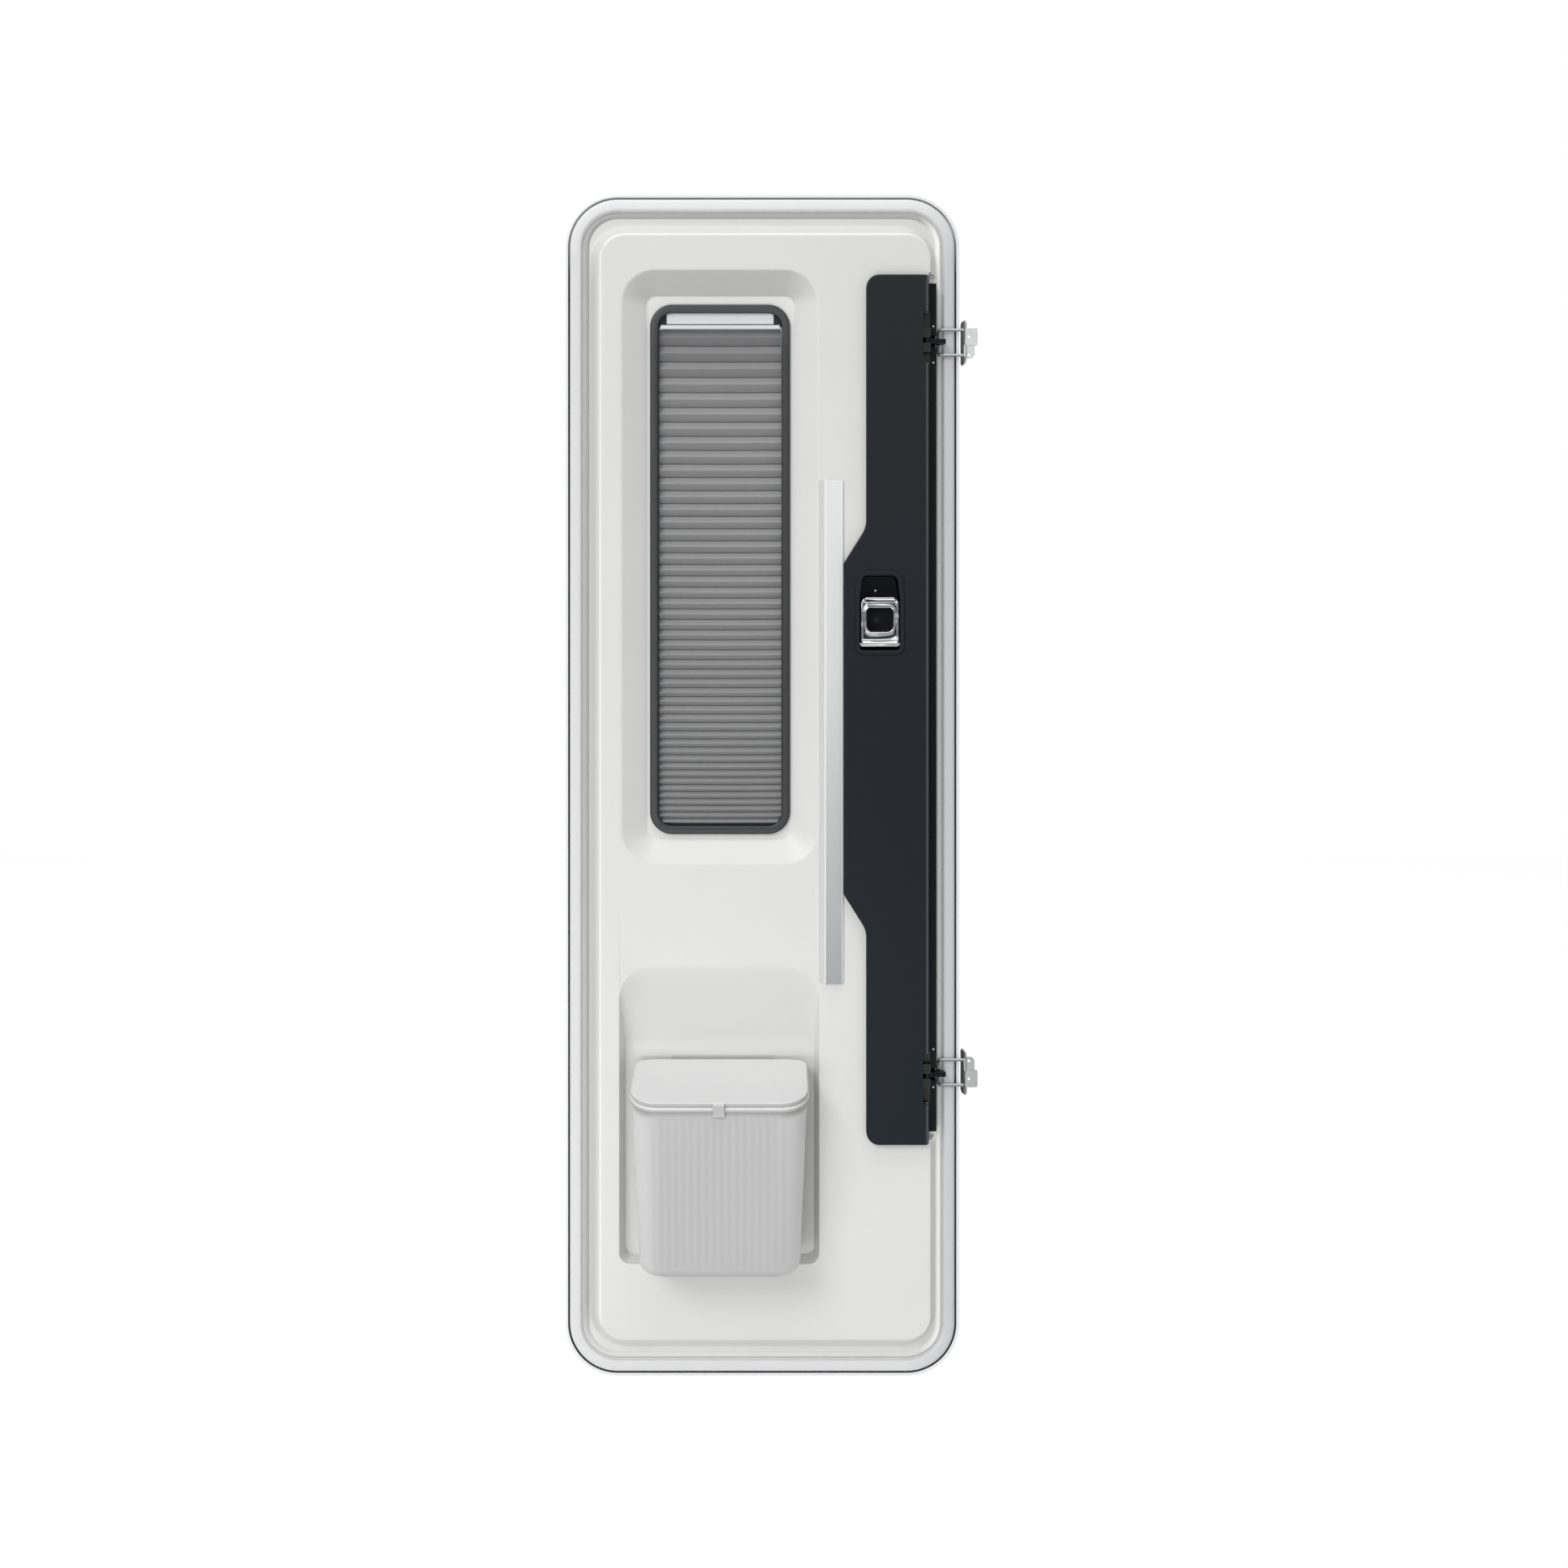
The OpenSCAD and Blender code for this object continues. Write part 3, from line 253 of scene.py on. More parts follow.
def profile(corners, steps=6):
    """An open line with a radius at each inner corner."""
    points = [Vector(corners[0][:2])]
    for a, b, c in zip(corners, corners[1:], corners[2:]):
        points += arc(a[:2], b[:2], c[:2], b[2], steps)
    return points + [Vector(corners[-1][:2])]


def upright(points, y):
    """Stands an outline up in the model at a depth."""
    return [at(p.x, y, p.y) for p in points]


print("corner of a 10 mm radius in", len(arc((1, 0), (0, 0), (0, 1), 0.1, 12)), "points")

# %% [markdown]
# ## Skins from rings
# The rings of a loft become quads. A piece that is cut later has to be closed, so both ends can get
# a cap. Normals are made to point outwards, and sharp corners stay sharp by their angle.

# %% Skins
def into_scene(name, data):
    thing = bpy.data.objects.new(name, data)
    bpy.context.scene.collection.objects.link(thing)
    return thing


def mesh_of(bm):
    mesh = bpy.data.meshes.new("part")
    bm.to_mesh(mesh)
    bm.free()
    return mesh


def smooth(mesh, angle=35):
    """Smooth shading that breaks at every edge sharper than the angle."""
    mesh.shade_smooth()
    bm = bmesh.new()
    bm.from_mesh(mesh)
    for edge in bm.edges:
        if len(edge.link_faces) == 2 and edge.calc_face_angle(0) > math.radians(angle):
            edge.smooth = False
    bm.to_mesh(mesh)
    bm.free()
    return mesh


def clean(bm, distance):
    """Welds points that coincide and turns all faces outwards."""
    bmesh.ops.remove_doubles(bm, verts=bm.verts, dist=distance)
    bmesh.ops.recalc_face_normals(bm, faces=bm.faces)


def skin(rings, caps=(True, True), around=True, angle=35):
    """Quads between rings of equal length. Caps close the first and the last ring."""
    bm = bmesh.new()
    rows = [[bm.verts.new(p) for p in ring] for ring in rings]
    n = len(rows[0])
    for lower, upper in zip(rows, rows[1:]):
        for i in range(n if around else n - 1):
            j = (i + 1) % n
            bm.faces.new((lower[i], lower[j], upper[j], upper[i]))
    if caps[0]:
        bm.faces.new(rows[0][::-1])
    if caps[1]:
        bm.faces.new(rows[-1])
    clean(bm, 1e-7)
    return smooth(mesh_of(bm), angle)


def joined(meshes, weld=None):
    """One mesh out of several, such as the many screws of a piece."""
    bm = bmesh.new()
    for mesh in meshes:
        bm.from_mesh(mesh)
    if weld:
        clean(bm, weld)
    return mesh_of(bm)


def cut(mesh, cutters, angle=35):
    """The mesh with the cutters taken away, by exact booleans."""
    target = into_scene("blank", mesh)
    tools = [into_scene("cutter", cutter) for cutter in cutters]
    for tool in tools:
        boolean = target.modifiers.new("cut", "BOOLEAN")
        boolean.operation, boolean.solver, boolean.object = "DIFFERENCE", "EXACT", tool
    bpy.context.view_layer.update()
    seen = target.evaluated_get(bpy.context.evaluated_depsgraph_get())
    out = bpy.data.meshes.new_from_object(seen)
    for thing in tools + [target]:
        bpy.data.objects.remove(thing)
    return smooth(out, angle)


print("skin helpers ready")

# %% [markdown]
# ## Sections swept round the leaf
# The profile, the seal, the bead and the window frame are all lengths of a constant section that
# run once round. A station is a place on the rounded outline with its inward direction, and the
# section is laid out from there.

# %% Sweep
def sweep(box, radius, section, steps):
    """section is a closed list of (distance inwards, depth). The box has one radius."""
    left, foot, right, top = box
    centres = [(left + radius, foot + radius, 180), (right - radius, foot + radius, 270),
               (right - radius, top - radius, 0), (left + radius, top - radius, 90)]
    rings = []
    for cx, cz, start in centres:
        for i in range(steps + 1):
            t = math.radians(start + 90 * i / steps)
            rings.append([at(cx + (radius - u) * math.cos(t), y, cz + (radius - u) * math.sin(t))
                          for u, y in section])
    return skin(rings + rings[:1], caps=(False, False))


print("sweep ready")

# %% [markdown]
# ## White finishes
# Nearly everything on this door is white, and still no two whites are the same. The formed panel is
# a warm off-white with a very fine grain, and a faint, broad mottle keeps it from looking dead. Its
# colour also holds painted light and shade: a painted highlight on the edge of the raised face,
# painted shade on the hinge-side flange, on the slope over the blind and beside the strip, and
# painted light on the lock-side flange by the strikers and on the ledge at the top of the window
# recess. The seal is cooler, with painted shade towards the lock and painted light along the top.
# The bead's colour is painted grey along the hinge side as shade, and painted light by the lock and
# at the foot. The profile is the brightest, but for the painted shade in the groove behind its lip.
# Masks hold those places.

# %% Whites
def white(name, low, high, strength, roughness):
    """Plain white of a pressed, drawn or painted piece."""
    paint = Finish(name)
    fine = paint.noise(850.0, 2.0)
    colour = paint.mix(paint.noise(7.0, 2.0) * 0.75 + fine * 0.25, low, high)
    return paint.coat(colour, fine, roughness, 0.12, strength)


def moulding_finish():
    paint = Finish("white_moulding")
    broad, fine = paint.noise(7.0, 2.0), paint.noise(700.0, 2.0)
    x, y, z = map(paint.drawing, "xyz")
    raised = (y - FLANGE) / (PAN - FLANGE)
    hinge_side = x.under(57.5)
    # Painted highlight on the edge of the raised face, along the hinge side and the top.
    rim = (hinge_side * z.under(1730)).most(z.over(1718))
    edge = paint.ramp(raised, (0.0, 0.0), (0.8, 0.0), (0.92, 1.0), (0.99, 1.0), (1.0, 0.0)) * rim
    # Painted shade on the hinge-side flange and the foot of its slope.
    painted_shade_flange = hinge_side * z.fall(1730, 71.4) * z.rise(62, 33.3)
    low = paint.ramp(raised, (0.0, 1.0), (0.45, 1.0), (0.75, 0.0)) * painted_shade_flange
    # Painted light on the lock-side flange, where the cover and the rail cast shade.
    painted_light_by_strikers = x.over(555.2) * y.over(-37) * z.within(360, 1672)
    # Painted shade on the top slope of the window recess, over the blind, which faces down.
    middle = x.rise(83, 50).least(x.fall(388, 50))
    painted_shade_over_blind = z.rise(1633, 14.3) * z.under(1686) * middle * y.within(-44.6, -22.5)
    # Painted light on the ledge at the top of the window recess, which the slope over it shades.
    painted_light_on_ledge = z.rise(1590, 45.5) * z.under(1646.5) * x.within(100, 370) * y.over(-22.5)
    # Painted shade on the panel along the left side of the light strip.
    painted_shade_by_strip = x.within(385.5, 394.5) * z.within(602.5, 1362.5)
    plain = paint.mix(broad * 0.75 + fine * 0.25, "#d6d6d4", "#dededc")
    colour = paint.mix(low * 0.65, paint.mix(edge * 0.75, plain, "#f1f1ee"), "#bfc0bc")
    colour = paint.mix(painted_shade_over_blind * 0.7 + painted_shade_by_strip * 0.45, colour, "#b6b6b3")
    colour = paint.mix(painted_light_by_strikers * 0.9 + painted_light_on_ledge * 0.45, colour, "#fbfbf8")
    return paint.coat(colour, fine, 0.42, 0.12, 0.22, 0.00012)


def seal_finish():
    paint = Finish("seal_rubber")
    fine = paint.noise(500.0, 2.0)
    # Painted shade on the seal's run by the lock.
    across = paint.ramp(paint.drawing("x") / LEAF[2], (0.0, "#dadadb"), (0.86, "#dadadb"),
                        (0.97, "#c1c2c3"))
    # Painted light along the seal's top run.
    top = paint.drawing("z").rise(1700, 83.3)
    colour = paint.mix(top * 0.35, paint.mix(fine * 0.3, across, "#e1e1e2"), "#ffffff")
    return paint.coat(colour, fine, 0.55, 0.1, 0.10)


def trim_finish():
    paint = Finish("white_trim")
    fine = paint.noise(850.0, 2.0)
    # Painted shade: the bead is grey along the hinge side, with painted light by the lock.
    across = paint.ramp(paint.drawing("x") / LEAF[2], (0.0, "#a9a9a6"), (0.9, "#aeaeab"),
                        (0.94, "#fafaf7"))
    # Painted light on the bead at the foot.
    foot = paint.drawing("z").fall(110, 83.3)
    colour = paint.mix(foot * 0.7, paint.mix(fine * 0.3, across, "#c4c4c1"), "#e6e6e3")
    return paint.coat(colour, fine, 0.4, 0.1, 0.08)


def profile_finish():
    paint = Finish("profile_paint")
    fine = paint.noise(850.0, 2.0)
    x, y, z = map(paint.drawing, "xyz")
    across = ((x - LEAF[2] / 2).size() - (LEAF[2] / 2 - LEAF_CORNER)).most(0.0)
    along = ((z - LEAF[3] / 2).size() - (LEAF[3] / 2 - LEAF_CORNER)).most(0.0)
    outer = ((across ** 2 + along ** 2) ** 0.5).over(70)
    # Painted shade in the groove between the lip and the seal.
    groove = y.within(-23.8, -15.5) * outer * z.fall(1740, 62.5)
    colour = paint.mix(groove * 0.9, paint.mix(fine, "#e2e4e5", "#ebedee"), "#3a3c3e")
    return paint.coat(colour, fine, 0.34, 0.1, 0.05)


MOULDING = moulding_finish()
SEAL = seal_finish()
PROFILE = profile_finish()
TRIM = trim_finish()
BLIND_WHITE = white("blind_white", "#d6d8d9", "#e0e1e2", 0.04, 0.3)
SKIN_PAINT = white("outer_skin_paint", "#dcdddc", "#e4e5e3", 0.06, 0.3)
HANGER = white("hanger_steel", "#c0c1bf", "#cacbc9", 0.05, 0.4)
print(*bpy.data.materials.keys())

# %% [markdown]
# ## Bin plastic
# The bin is a plain polypropylene with a soft shine. Its front is painted greyer than the panel as
# shade, because it leans away from the light from above, and its rounded sides are painted lighter
# as the light that they catch. The hollows of its flutes get painted shade. The rim is painted
# darker where it turns under, as shade, with a painted highlight along its upper edge. The lid is
# the same plastic, left smoother, with painted shade on its upright edge.

# %% Bin finishes
BIN_X, BIN_REAR, HINGE_Z, TILT = 237.65, -27.0, 476.0, math.radians(14)
FLUTE = 11.1


def over_rim(paint):
    """Height over the tilted plane of the bin's rim."""
    up, back = paint.drawing("z") - HINGE_Z, paint.drawing("y") - BIN_REAR
    return up * math.cos(TILT) - back * math.sin(TILT)


def bin_finish():
    paint = Finish("bin_plastic")
    broad, fine = paint.noise(7.0, 2.0), paint.noise(420.0, 2.0)
    x, z = map(paint.drawing, "xz")
    # Painted shade across the front, which leans away from the light, and painted light on the rounded sides.
    across = paint.ramp((x - 106) / 263, (0.0, "#eaeaea"), (0.08, "#d4d4d4"), (0.18, "#b5b5b5"),
                        (0.8, "#b5b5b5"), (0.9, "#d2d2d2"), (0.96, "#e4e4e4"), (1.0, "#eeeeee"))
    # Painted shade in the hollows of the flutes.
    painted_flute_shade = (x * (2 * math.pi / FLUTE) + 2.15).wave() * 0.5 + 0.5
    field = x.within(137, 338) * z.fall(438, 25) * z.over(210)
    plain = paint.mix(broad * 0.4 + fine * 0.25, across, "#bfbfbf")
    plain = paint.mix(painted_flute_shade * field * 0.13, plain, "#8f8f8f")
    # Painted shade under the rim and a painted highlight along its upper edge.
    up = over_rim(paint) / 20 + 1
    rim = paint.ramp(up, (0.3, "#b4b4b4"), (0.5, "#a2a2a2"), (0.6, "#a8a8a8"), (0.74, "#b8b8b8"),
                     (0.84, "#cbcbc9"), (0.91, "#dadad8"))
    return paint.coat(paint.mix(up.rise(0, 0.3), plain, rim), fine, 0.44, 0.12, 0.15, 0.00012)


def lid_finish():
    paint = Finish("lid_plastic")
    broad, fine = paint.noise(7.0, 2.0), paint.noise(420.0, 2.0)
    # Painted shade on the lid's upright edge.
    painted_shade_band = paint.ramp(over_rim(paint) / 7, (0.0, 1.0), (0.76, 1.0), (0.86, 0.0))
    colour = paint.mix(painted_shade_band, paint.mix(broad * 0.75 + fine * 0.25, "#d2d2d2", "#dadada"), "#b9b9b9")
    return paint.coat(colour, fine, 0.4, 0.12, 0.1)


BIN = bin_finish()
LID = lid_finish()
print(BIN.name, LID.name)

# %% [markdown]
# ## Dark plastics
# The lock cover is a dark blue-grey with a leathery moulding grain. Its colour is painted lighter
# towards the top as light from above, with painted shade on its sides, in its notches and in the
# handle cup, and a painted highlight along its right edge. The window frame is nearly black, with
# fine ribs down its hinge side and painted light along its top run. On black plastic the grain
# shows mostly in the shine, so it feeds the roughness as well as the bump.

# %% Dark finishes
def dark(name, low, high, strength, roughness=0.48, shine=0.3, distance=0.00015):
    paint = Finish(name, Specular_IOR_Level=shine)
    fine = paint.noise(600.0, 3.0, 0.6)
    colour = paint.mix(paint.noise(5.0, 2.0) * 0.6 + fine * 0.4, low, high)
    return paint.coat(colour, fine, roughness, 0.25, strength, distance)


def cover_finish():
    paint = Finish("cover_plastic", Specular_IOR_Level=0.14)
    fine = paint.noise(620.0, 3.0, 0.6)
    x, y, z = map(paint.drawing, "xyz")
    # Painted light: the colour is lighter towards the top, and bluer towards the foot.
    height = (z - 360) / 1310
    shade = paint.ramp(height, (0.0, "#141c24"), (0.55, "#191e24"), (1.0, "#202225"))
    # Painted shade on everything set back from the front: the sides, the notches and inside the cup.
    painted_shade_deep = y.over(-53.5)
    # Painted highlight along the cover's right edge.
    edge = x.rise(545.5, 3.33) * x.under(550.3)
    colour = paint.mix(painted_shade_deep * 0.8, paint.mix(fine * 0.12, shade, "#33383d"), "#07090c")
    colour = paint.mix(edge * 0.75, colour, "#565b62")
    return paint.coat(colour, fine, 0.47, 0.25, 0.3, 0.00015)


def frame_finish():
    paint = Finish("black_frame_ribbed")
    x, z = map(paint.drawing, "xz")
    fine = paint.noise(700.0, 3.0, 0.6)
    ribs = ((z - ORIGIN[2]) * (2 * math.pi / 2.6)).wave() * 0.5 + 0.5
    ribs = ribs * x.under(142.5) * z.within(840, 1620)
    colour = paint.mix(fine * 0.5 + ribs * 0.5, "#242628", "#393c3f")
    # Painted light along the top run of the frame.
    colour = paint.mix(z.rise(1560, 62.5) * 0.45, colour, "#4a4d50")
    return paint.coat(colour, fine, 0.42, 0.2, 0.45, 0.0004, relief=ribs * 0.8 + fine * 0.2)


COVER = cover_finish()
FRAME_BLACK = dark("black_frame", "#242628", "#2f3234", 0.2)
MATT_BLACK = dark("blind_black", "#17181a", "#202224", 0.15)
RAIL = dark("rail_plastic", "#08090b", "#0e1013", 0.15, roughness=0.4, shine=0.12)
LATCH = dark("latch_plastic", "#121315", "#1c1e20", 0.2, roughness=0.36)
OUTER_BLACK = dark("outer_plastic", "#1d1f21", "#282b2d", 0.3, roughness=0.5, distance=0.0002)
FRAME_RIBBED = frame_finish()
print(*bpy.data.materials.keys())

# %% [markdown]
# ## Metals
# The handle is chromed zinc, the striker wires are bright drawn steel, and their brackets have the
# pale, faintly mottled look of zinc plating. The claws are dark and a little oily. The end of each
# wire that a claw holds is painted dark, as painted shade inside the latch housing.

# %% Metal finishes
def metal(name, low, high, roughness, blotch=40.0, spread=0.15):
    paint = Finish(name, Metallic=1.0)
    cloud, fine = paint.noise(blotch, 4.0, 0.6), paint.noise(1500.0, 2.0)
    return paint.coat(paint.mix(cloud, low, high), cloud, roughness, spread, 0.05, 0.00005, relief=fine)


def chrome_finish():
    paint = Finish("handle_chrome", Metallic=1.0)
    flow = paint.noise(26.0, 1.5, 0.4, paint.stretched(0.6, 1.0, 1.5))
    return paint.coat(paint.mix(flow, "#a9adae", "#c3c6c7"), flow, 0.08, 0.04, 0.5, 0.006)


def wire_finish():
    paint = Finish("striker_wire", Metallic=1.0)
    cloud = paint.noise(60.0, 3.0)
    # Painted shade on the end of the wire that the claw holds, inside the dark housing.
    along = paint.ramp(paint.drawing("x") / LEAF[2], (0.0, "#202122"), (0.949, "#2c2d2e"),
                       (0.954, "#9b9fa0"), (1.0, "#a9adae"))
    return paint.coat(paint.mix(cloud * 0.25, along, "#c3c6c7"), cloud, 0.14, 0.08, 0.05, 0.0002)


def zinc_finish():
    """Zinc plating, painted darker on the lower bracket and on the cranked sides."""
    paint = Finish("striker_zinc", Metallic=1.0)
    cloud, fine = paint.noise(140.0, 4.0, 0.6), paint.noise(1500.0, 2.0)
    colour = paint.mix(cloud, "#b6bbb9", "#dfe3e1")
    darker = paint.drawing("z").under(LEAF[3] / 2) * 0.5 + paint.drawing("x").under(606) * 0.3
    colour = paint.mix(darker, colour, "#8d9290")
    return paint.coat(colour, cloud, 0.34, 0.2, 0.08, 0.00005, relief=fine)


CHROME = chrome_finish()
BARREL = metal("barrel_chrome", "#c4c7c9", "#d4d7d9", 0.2, 60, 0.08)
PIN = metal("pin_steel", "#aeb1b3", "#c2c4c6", 0.25)
ZINC = zinc_finish()
WIRE = wire_finish()
CLAW = metal("claw_steel", "#1b1c1d", "#2a2b2c", 0.38, 90, 0.2)
print(*bpy.data.materials.keys())

# %% [markdown]
# ## Light strip, glass and pleated cloth
# The strip's diffuser is frosted. Its colour is painted from a bright upper end to a grey lower
# end as light and shade, since the panel leans out of the light there, and its long edges carry
# painted highlights. The pane is tinted acrylic. The pleats are a thin grey fleece, with painted
# shade under the cassette.

# %% Other finishes
STRIP_BOX = [394.2, 602.5, 422.4, 1362.5]


def strip_finish():
    paint = Finish("strip_diffuser")
    x, z = map(paint.drawing, "xz")
    # Painted light and shade: bright at the upper end, grey at the lower end.
    up = (z - STRIP_BOX[1]) / (STRIP_BOX[3] - STRIP_BOX[1])
    shade = paint.ramp(up, (0.0, "#9da0a1"), (0.25, "#b4b7b8"), (0.6, "#d2d4d4"), (1.0, "#e0e1e1"))
    # Painted highlights along the strip's long edges.
    painted_edge_highlights = (x - (STRIP_BOX[0] + STRIP_BOX[2]) / 2).size().over(12.2)
    colour = paint.mix(painted_edge_highlights * 0.75, shade, "#f6f7f7")
    return paint.coat(colour, paint.noise(500.0, 2.0), 0.42, 0.1, 0.05)


def cloth_finish():
    paint = Finish("blind_cloth", Sheen_Weight=0.15)
    weave = paint.noise(900.0, 3.0, 0.7, paint.stretched(0.25, 1.0, 2.5))
    colour = paint.mix(paint.noise(9.0, 2.0) * 0.5 + weave * 0.5, "#8a8a8b", "#979798")
    # Painted shade on the pleats under the cassette.
    colour = paint.mix(paint.drawing("z").rise(1500, 83.3) * 0.5, colour, "#6a6a6c")
    return paint.coat(colour, weave, 0.85, 0.1, 0.25, 0.0002)


def pane_finish():
    paint = Finish("pane_acrylic", Transmission_Weight=0.75, IOR=1.49)
    haze = paint.noise(12.0, 2.0)
    return paint.link(Base_Color=paint.mix(haze, "#4b5355", "#596163"), Roughness=0.06 + haze * 0.05)


STRIP = strip_finish()
CLOTH = cloth_finish()
PANE = pane_finish()
print(STRIP.name, CLOTH.name, PANE.name)

# %% [markdown]
# ## Finishing a solid that stays
# A solid whose shape is already right only gets its finish and a small bevel, because no real edge
# is perfectly sharp and it is the edge that catches the light. A piece that is made again gets its
# finish, its body and the solids that it stands for.

# %% Dress a solid or add a piece
SHARP = math.radians(35)


def soften(thing, width):
    """A small bevel along the sharp edges, in millimetres."""
    edge = thing.modifiers.new("edge", "BEVEL")
    edge.width = width / 1000
    edge.segments = 2
    edge.limit_method = "ANGLE"
    edge.harden_normals = True
    return edge


def dress(node, material, bevel):
    thing = NODES[node]
    thing.data.materials.clear()
    thing.data.materials.append(material)
    thing.data.shade_smooth()
    if bevel:
        soften(thing, bevel).angle_limit = SHARP
    else:
        thing.modifiers.new("edge", "EDGE_SPLIT").split_angle = SHARP


def piece(name, mesh, material, body="leaf", instead=(), slot=None):
    mesh.name = name
    mesh.materials.clear()
    mesh.materials.append(material)
    thing = into_scene(name, mesh)
    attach(thing, body)
    slot = slot or material.name.split(".")[0]
    if instead:
        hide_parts(*instead)
    print(name, len(mesh.polygons), "faces")
    return thing


print("dressing ready")

# %% [markdown]
# ## Profile, seal and bead
# The extruded profile shows as a fine bright lip round the outside. Behind the lip runs a groove,
# then the broad hollow seal with its two rounded shoulders and a shallow channel along its inner
# side. A bead of trim covers the cut edge of the formed panel.

# %% Edge of the leaf
LIP, SEAT, SEAL_TOP = -26.0, -16.0, -28.0
profile_section = [(0, 0), (0, LIP + 0.8), (0.25, LIP + 0.25), (0.8, LIP), (3.4, LIP), (4.0, LIP + 0.5),
                   (4.0, LIP + 3), (2, LIP + 3), (2, SEAT), (26.3, SEAT), (26.3, SEAT - 4.6),
                   (26.6, SEAT - 5), (28.0, SEAT - 5), (28.3, SEAT - 4.6), (28.3, SEAT + 2), (2, SEAT + 2),
                   (2, -1.5), (19.8, -1.5), (20, -1.3), (20, 0)]
seal_section = [(6.5, SEAT), (6.5, -22.4), (6.9, -24.6), (7.9, -26.4), (9.6, -27.6), (11.6, SEAL_TOP),
                (20.5, SEAL_TOP), (22.2, -27.7), (23.4, -26.8), (24.2, -25.4), (24.6, -23.6),
                (25.0, -22.4), (25.8, -22.0), (26.0, -21.4), (26.0, SEAT)]
bead_section = [(28.6, FLANGE), (28.6, -23.7), (29.0, -24.3), (29.8, -24.5), (32.2, -24.4),
                (33.6, -23.9), (35.2, -22.7), (36.0, -22.05), (36.0, FLANGE)]
for name, section, finish, solid in (("edge_of_leaf", profile_section, PROFILE, "edge_profile"),
                                     ("seal_round_leaf", seal_section, SEAL, "rim_seal"),
                                     ("bead_round_panel", bead_section, TRIM, "panel_bead")):
    piece(name, sweep(LEAF, LEAF_CORNER, section, 32), finish, instead=(solid,))

# %% [markdown]
# ## The formed inner panel
# A sheet drawn over a mould has no sharp corner anywhere: each step is an S of two radii. The
# raised face, the window recess and the bin recess are made as soft lofts, and the recesses are
# cut from the face with exact booleans, which leaves the face itself perfectly flat. Seats for the
# cup, the rail and the two latches are cut in the same way.

# %% Panel blank
SHEET_EDGE, SHEET_BACK = 28.6, -3.0
FACE = [55.4, 62.6, 554.6, 1735.0]
FOOT = [FACE[0] - 18, FACE[1] - 18, FACE[2] + 9.4, FACE[3] + 18]
CUP_SEAT = [444.5, 1103.7, 509.8, 1220.7]
LATCH_LEFT = 541.8


def soft_step(run, rise, low, high, before, after):
    """The section of a drawn step: flat, an S with a radius at its foot and head, flat."""
    return profile([(-before, 0), (0, 0, low), (run, rise, high), (run + after, rise)], 8)


def panel_blank():
    sheet = box_outline(grow(LEAF, -SHEET_EDGE), LEAF_CORNER - SHEET_EDGE, 16)
    rings = [upright(sheet, SHEET_BACK), upright(sheet, FLANGE)]
    for p in soft_step(18, 23, 5, 5, 5, 12):
        t = p.x / 18
        rings.append(upright(box_outline(between(FOOT, FACE, t), 37 + 18 * (1 - t), 16), FLANGE - p.y))
    return skin(rings, angle=50)


def window_cutter():
    land, corner = [124.8, 820.4, 346.5, 1643.6], 12.6
    steps = [(p.x, LAND - p.y) for p in soft_step(37.4, 24, 9, 10, 8, 12.6)[:-1]]
    steps += [(40.5, PAN), (40.5, PAN - 6)]
    rings = [upright(box_outline(grow(land, d), corner + d, 16), y) for d, y in steps]
    return skin(rings, angle=50)


def bin_ring(t, y):
    """The bin recess at a share t of the way from its floor to the face. Its top slopes most."""
    box = [90.7 - 7 * t, 182.9 - 4.9 * t, 379.4 + 7 * t, 509.3 + 114.7 * t]
    low, high = 12 + 5 * t, 12 + 35 * t
    return upright(box_outline(box, [low, low, high, high], 12), y)


def bin_cutter():
    steps = [(-0.16, 0.0), (-0.05, 0.15), (0.03, 1.2), (0.10, 3.2), (0.5, 14.0), (0.86, 24.4),
             (0.93, 26.2), (0.985, 27.4), (1.03, 28.0), (1.03, 33.0)]
    return skin([bin_ring(t, BIN_WALL - y) for t, y in steps], angle=60)


def prism(box, radius, back, front, steps=10):
    return skin([upright(box_outline(box, radius, steps), y) for y in (back, front)])


BELOW_FACE, THROUGH = -24, PAN - 2
cutters = [window_cutter(), bin_cutter(), prism([136.4, 833, 334.9, 1625.6], 26.4, 2, LAND - 2, 12),
           prism(CUP_SEAT, 8, -24.7, THROUGH),
           prism([551.4, 366, 566.0, 1677], 0.5, BELOW_FACE, THROUGH, 2)]
for foot, top in ((1538.5, 1616.2), (421.5, 499.2)):
    cutters.append(prism([LATCH_LEFT, foot, FACE[2], top], 0.5, BELOW_FACE, THROUGH, 2))
piece("formed_panel", cut(panel_blank(), cutters, 32), MOULDING, instead=("inner_panel",))

# %% [markdown]
# ## Window frame, pane and outer frame
# The inner frame is a black moulding with a soft outer shoulder. It clamps the pane against the
# outer frame on the other side of the leaf.

# %% Window
FRAME, FRAME_CORNER = [128.8, 825.4, 342.5, 1633.2], 34
frame_section = [(0, LAND), (0, -24.2), (0.5, -25.6), (1.6, -26.6), (3.2, -27.0), (9.6, -27.0),
                 (11.2, -26.6), (12.2, -25.6), (12.6, -24.2), (12.6, -8.0), (8.2, -8.0), (8.2, LAND)]
piece("window_moulding", sweep(FRAME, FRAME_CORNER, frame_section, 20), FRAME_RIBBED,
      instead=("window_frame_inner",), slot="black_frame")
dress("window_pane", PANE, 0.2)
dress("window_frame_outer", FRAME_BLACK, 1.2)

# %% [markdown]
# ## Pleated blind
# The cassette and the pull rail are bright extrusions, and black end caps carry the cords. The
# cloth is one zigzag whose pleats close up towards the bottom, where the weight presses on them.
# Each ridge is slightly rounded, the cloth sags a little in the middle, and its sides follow the
# frame's lower corners.

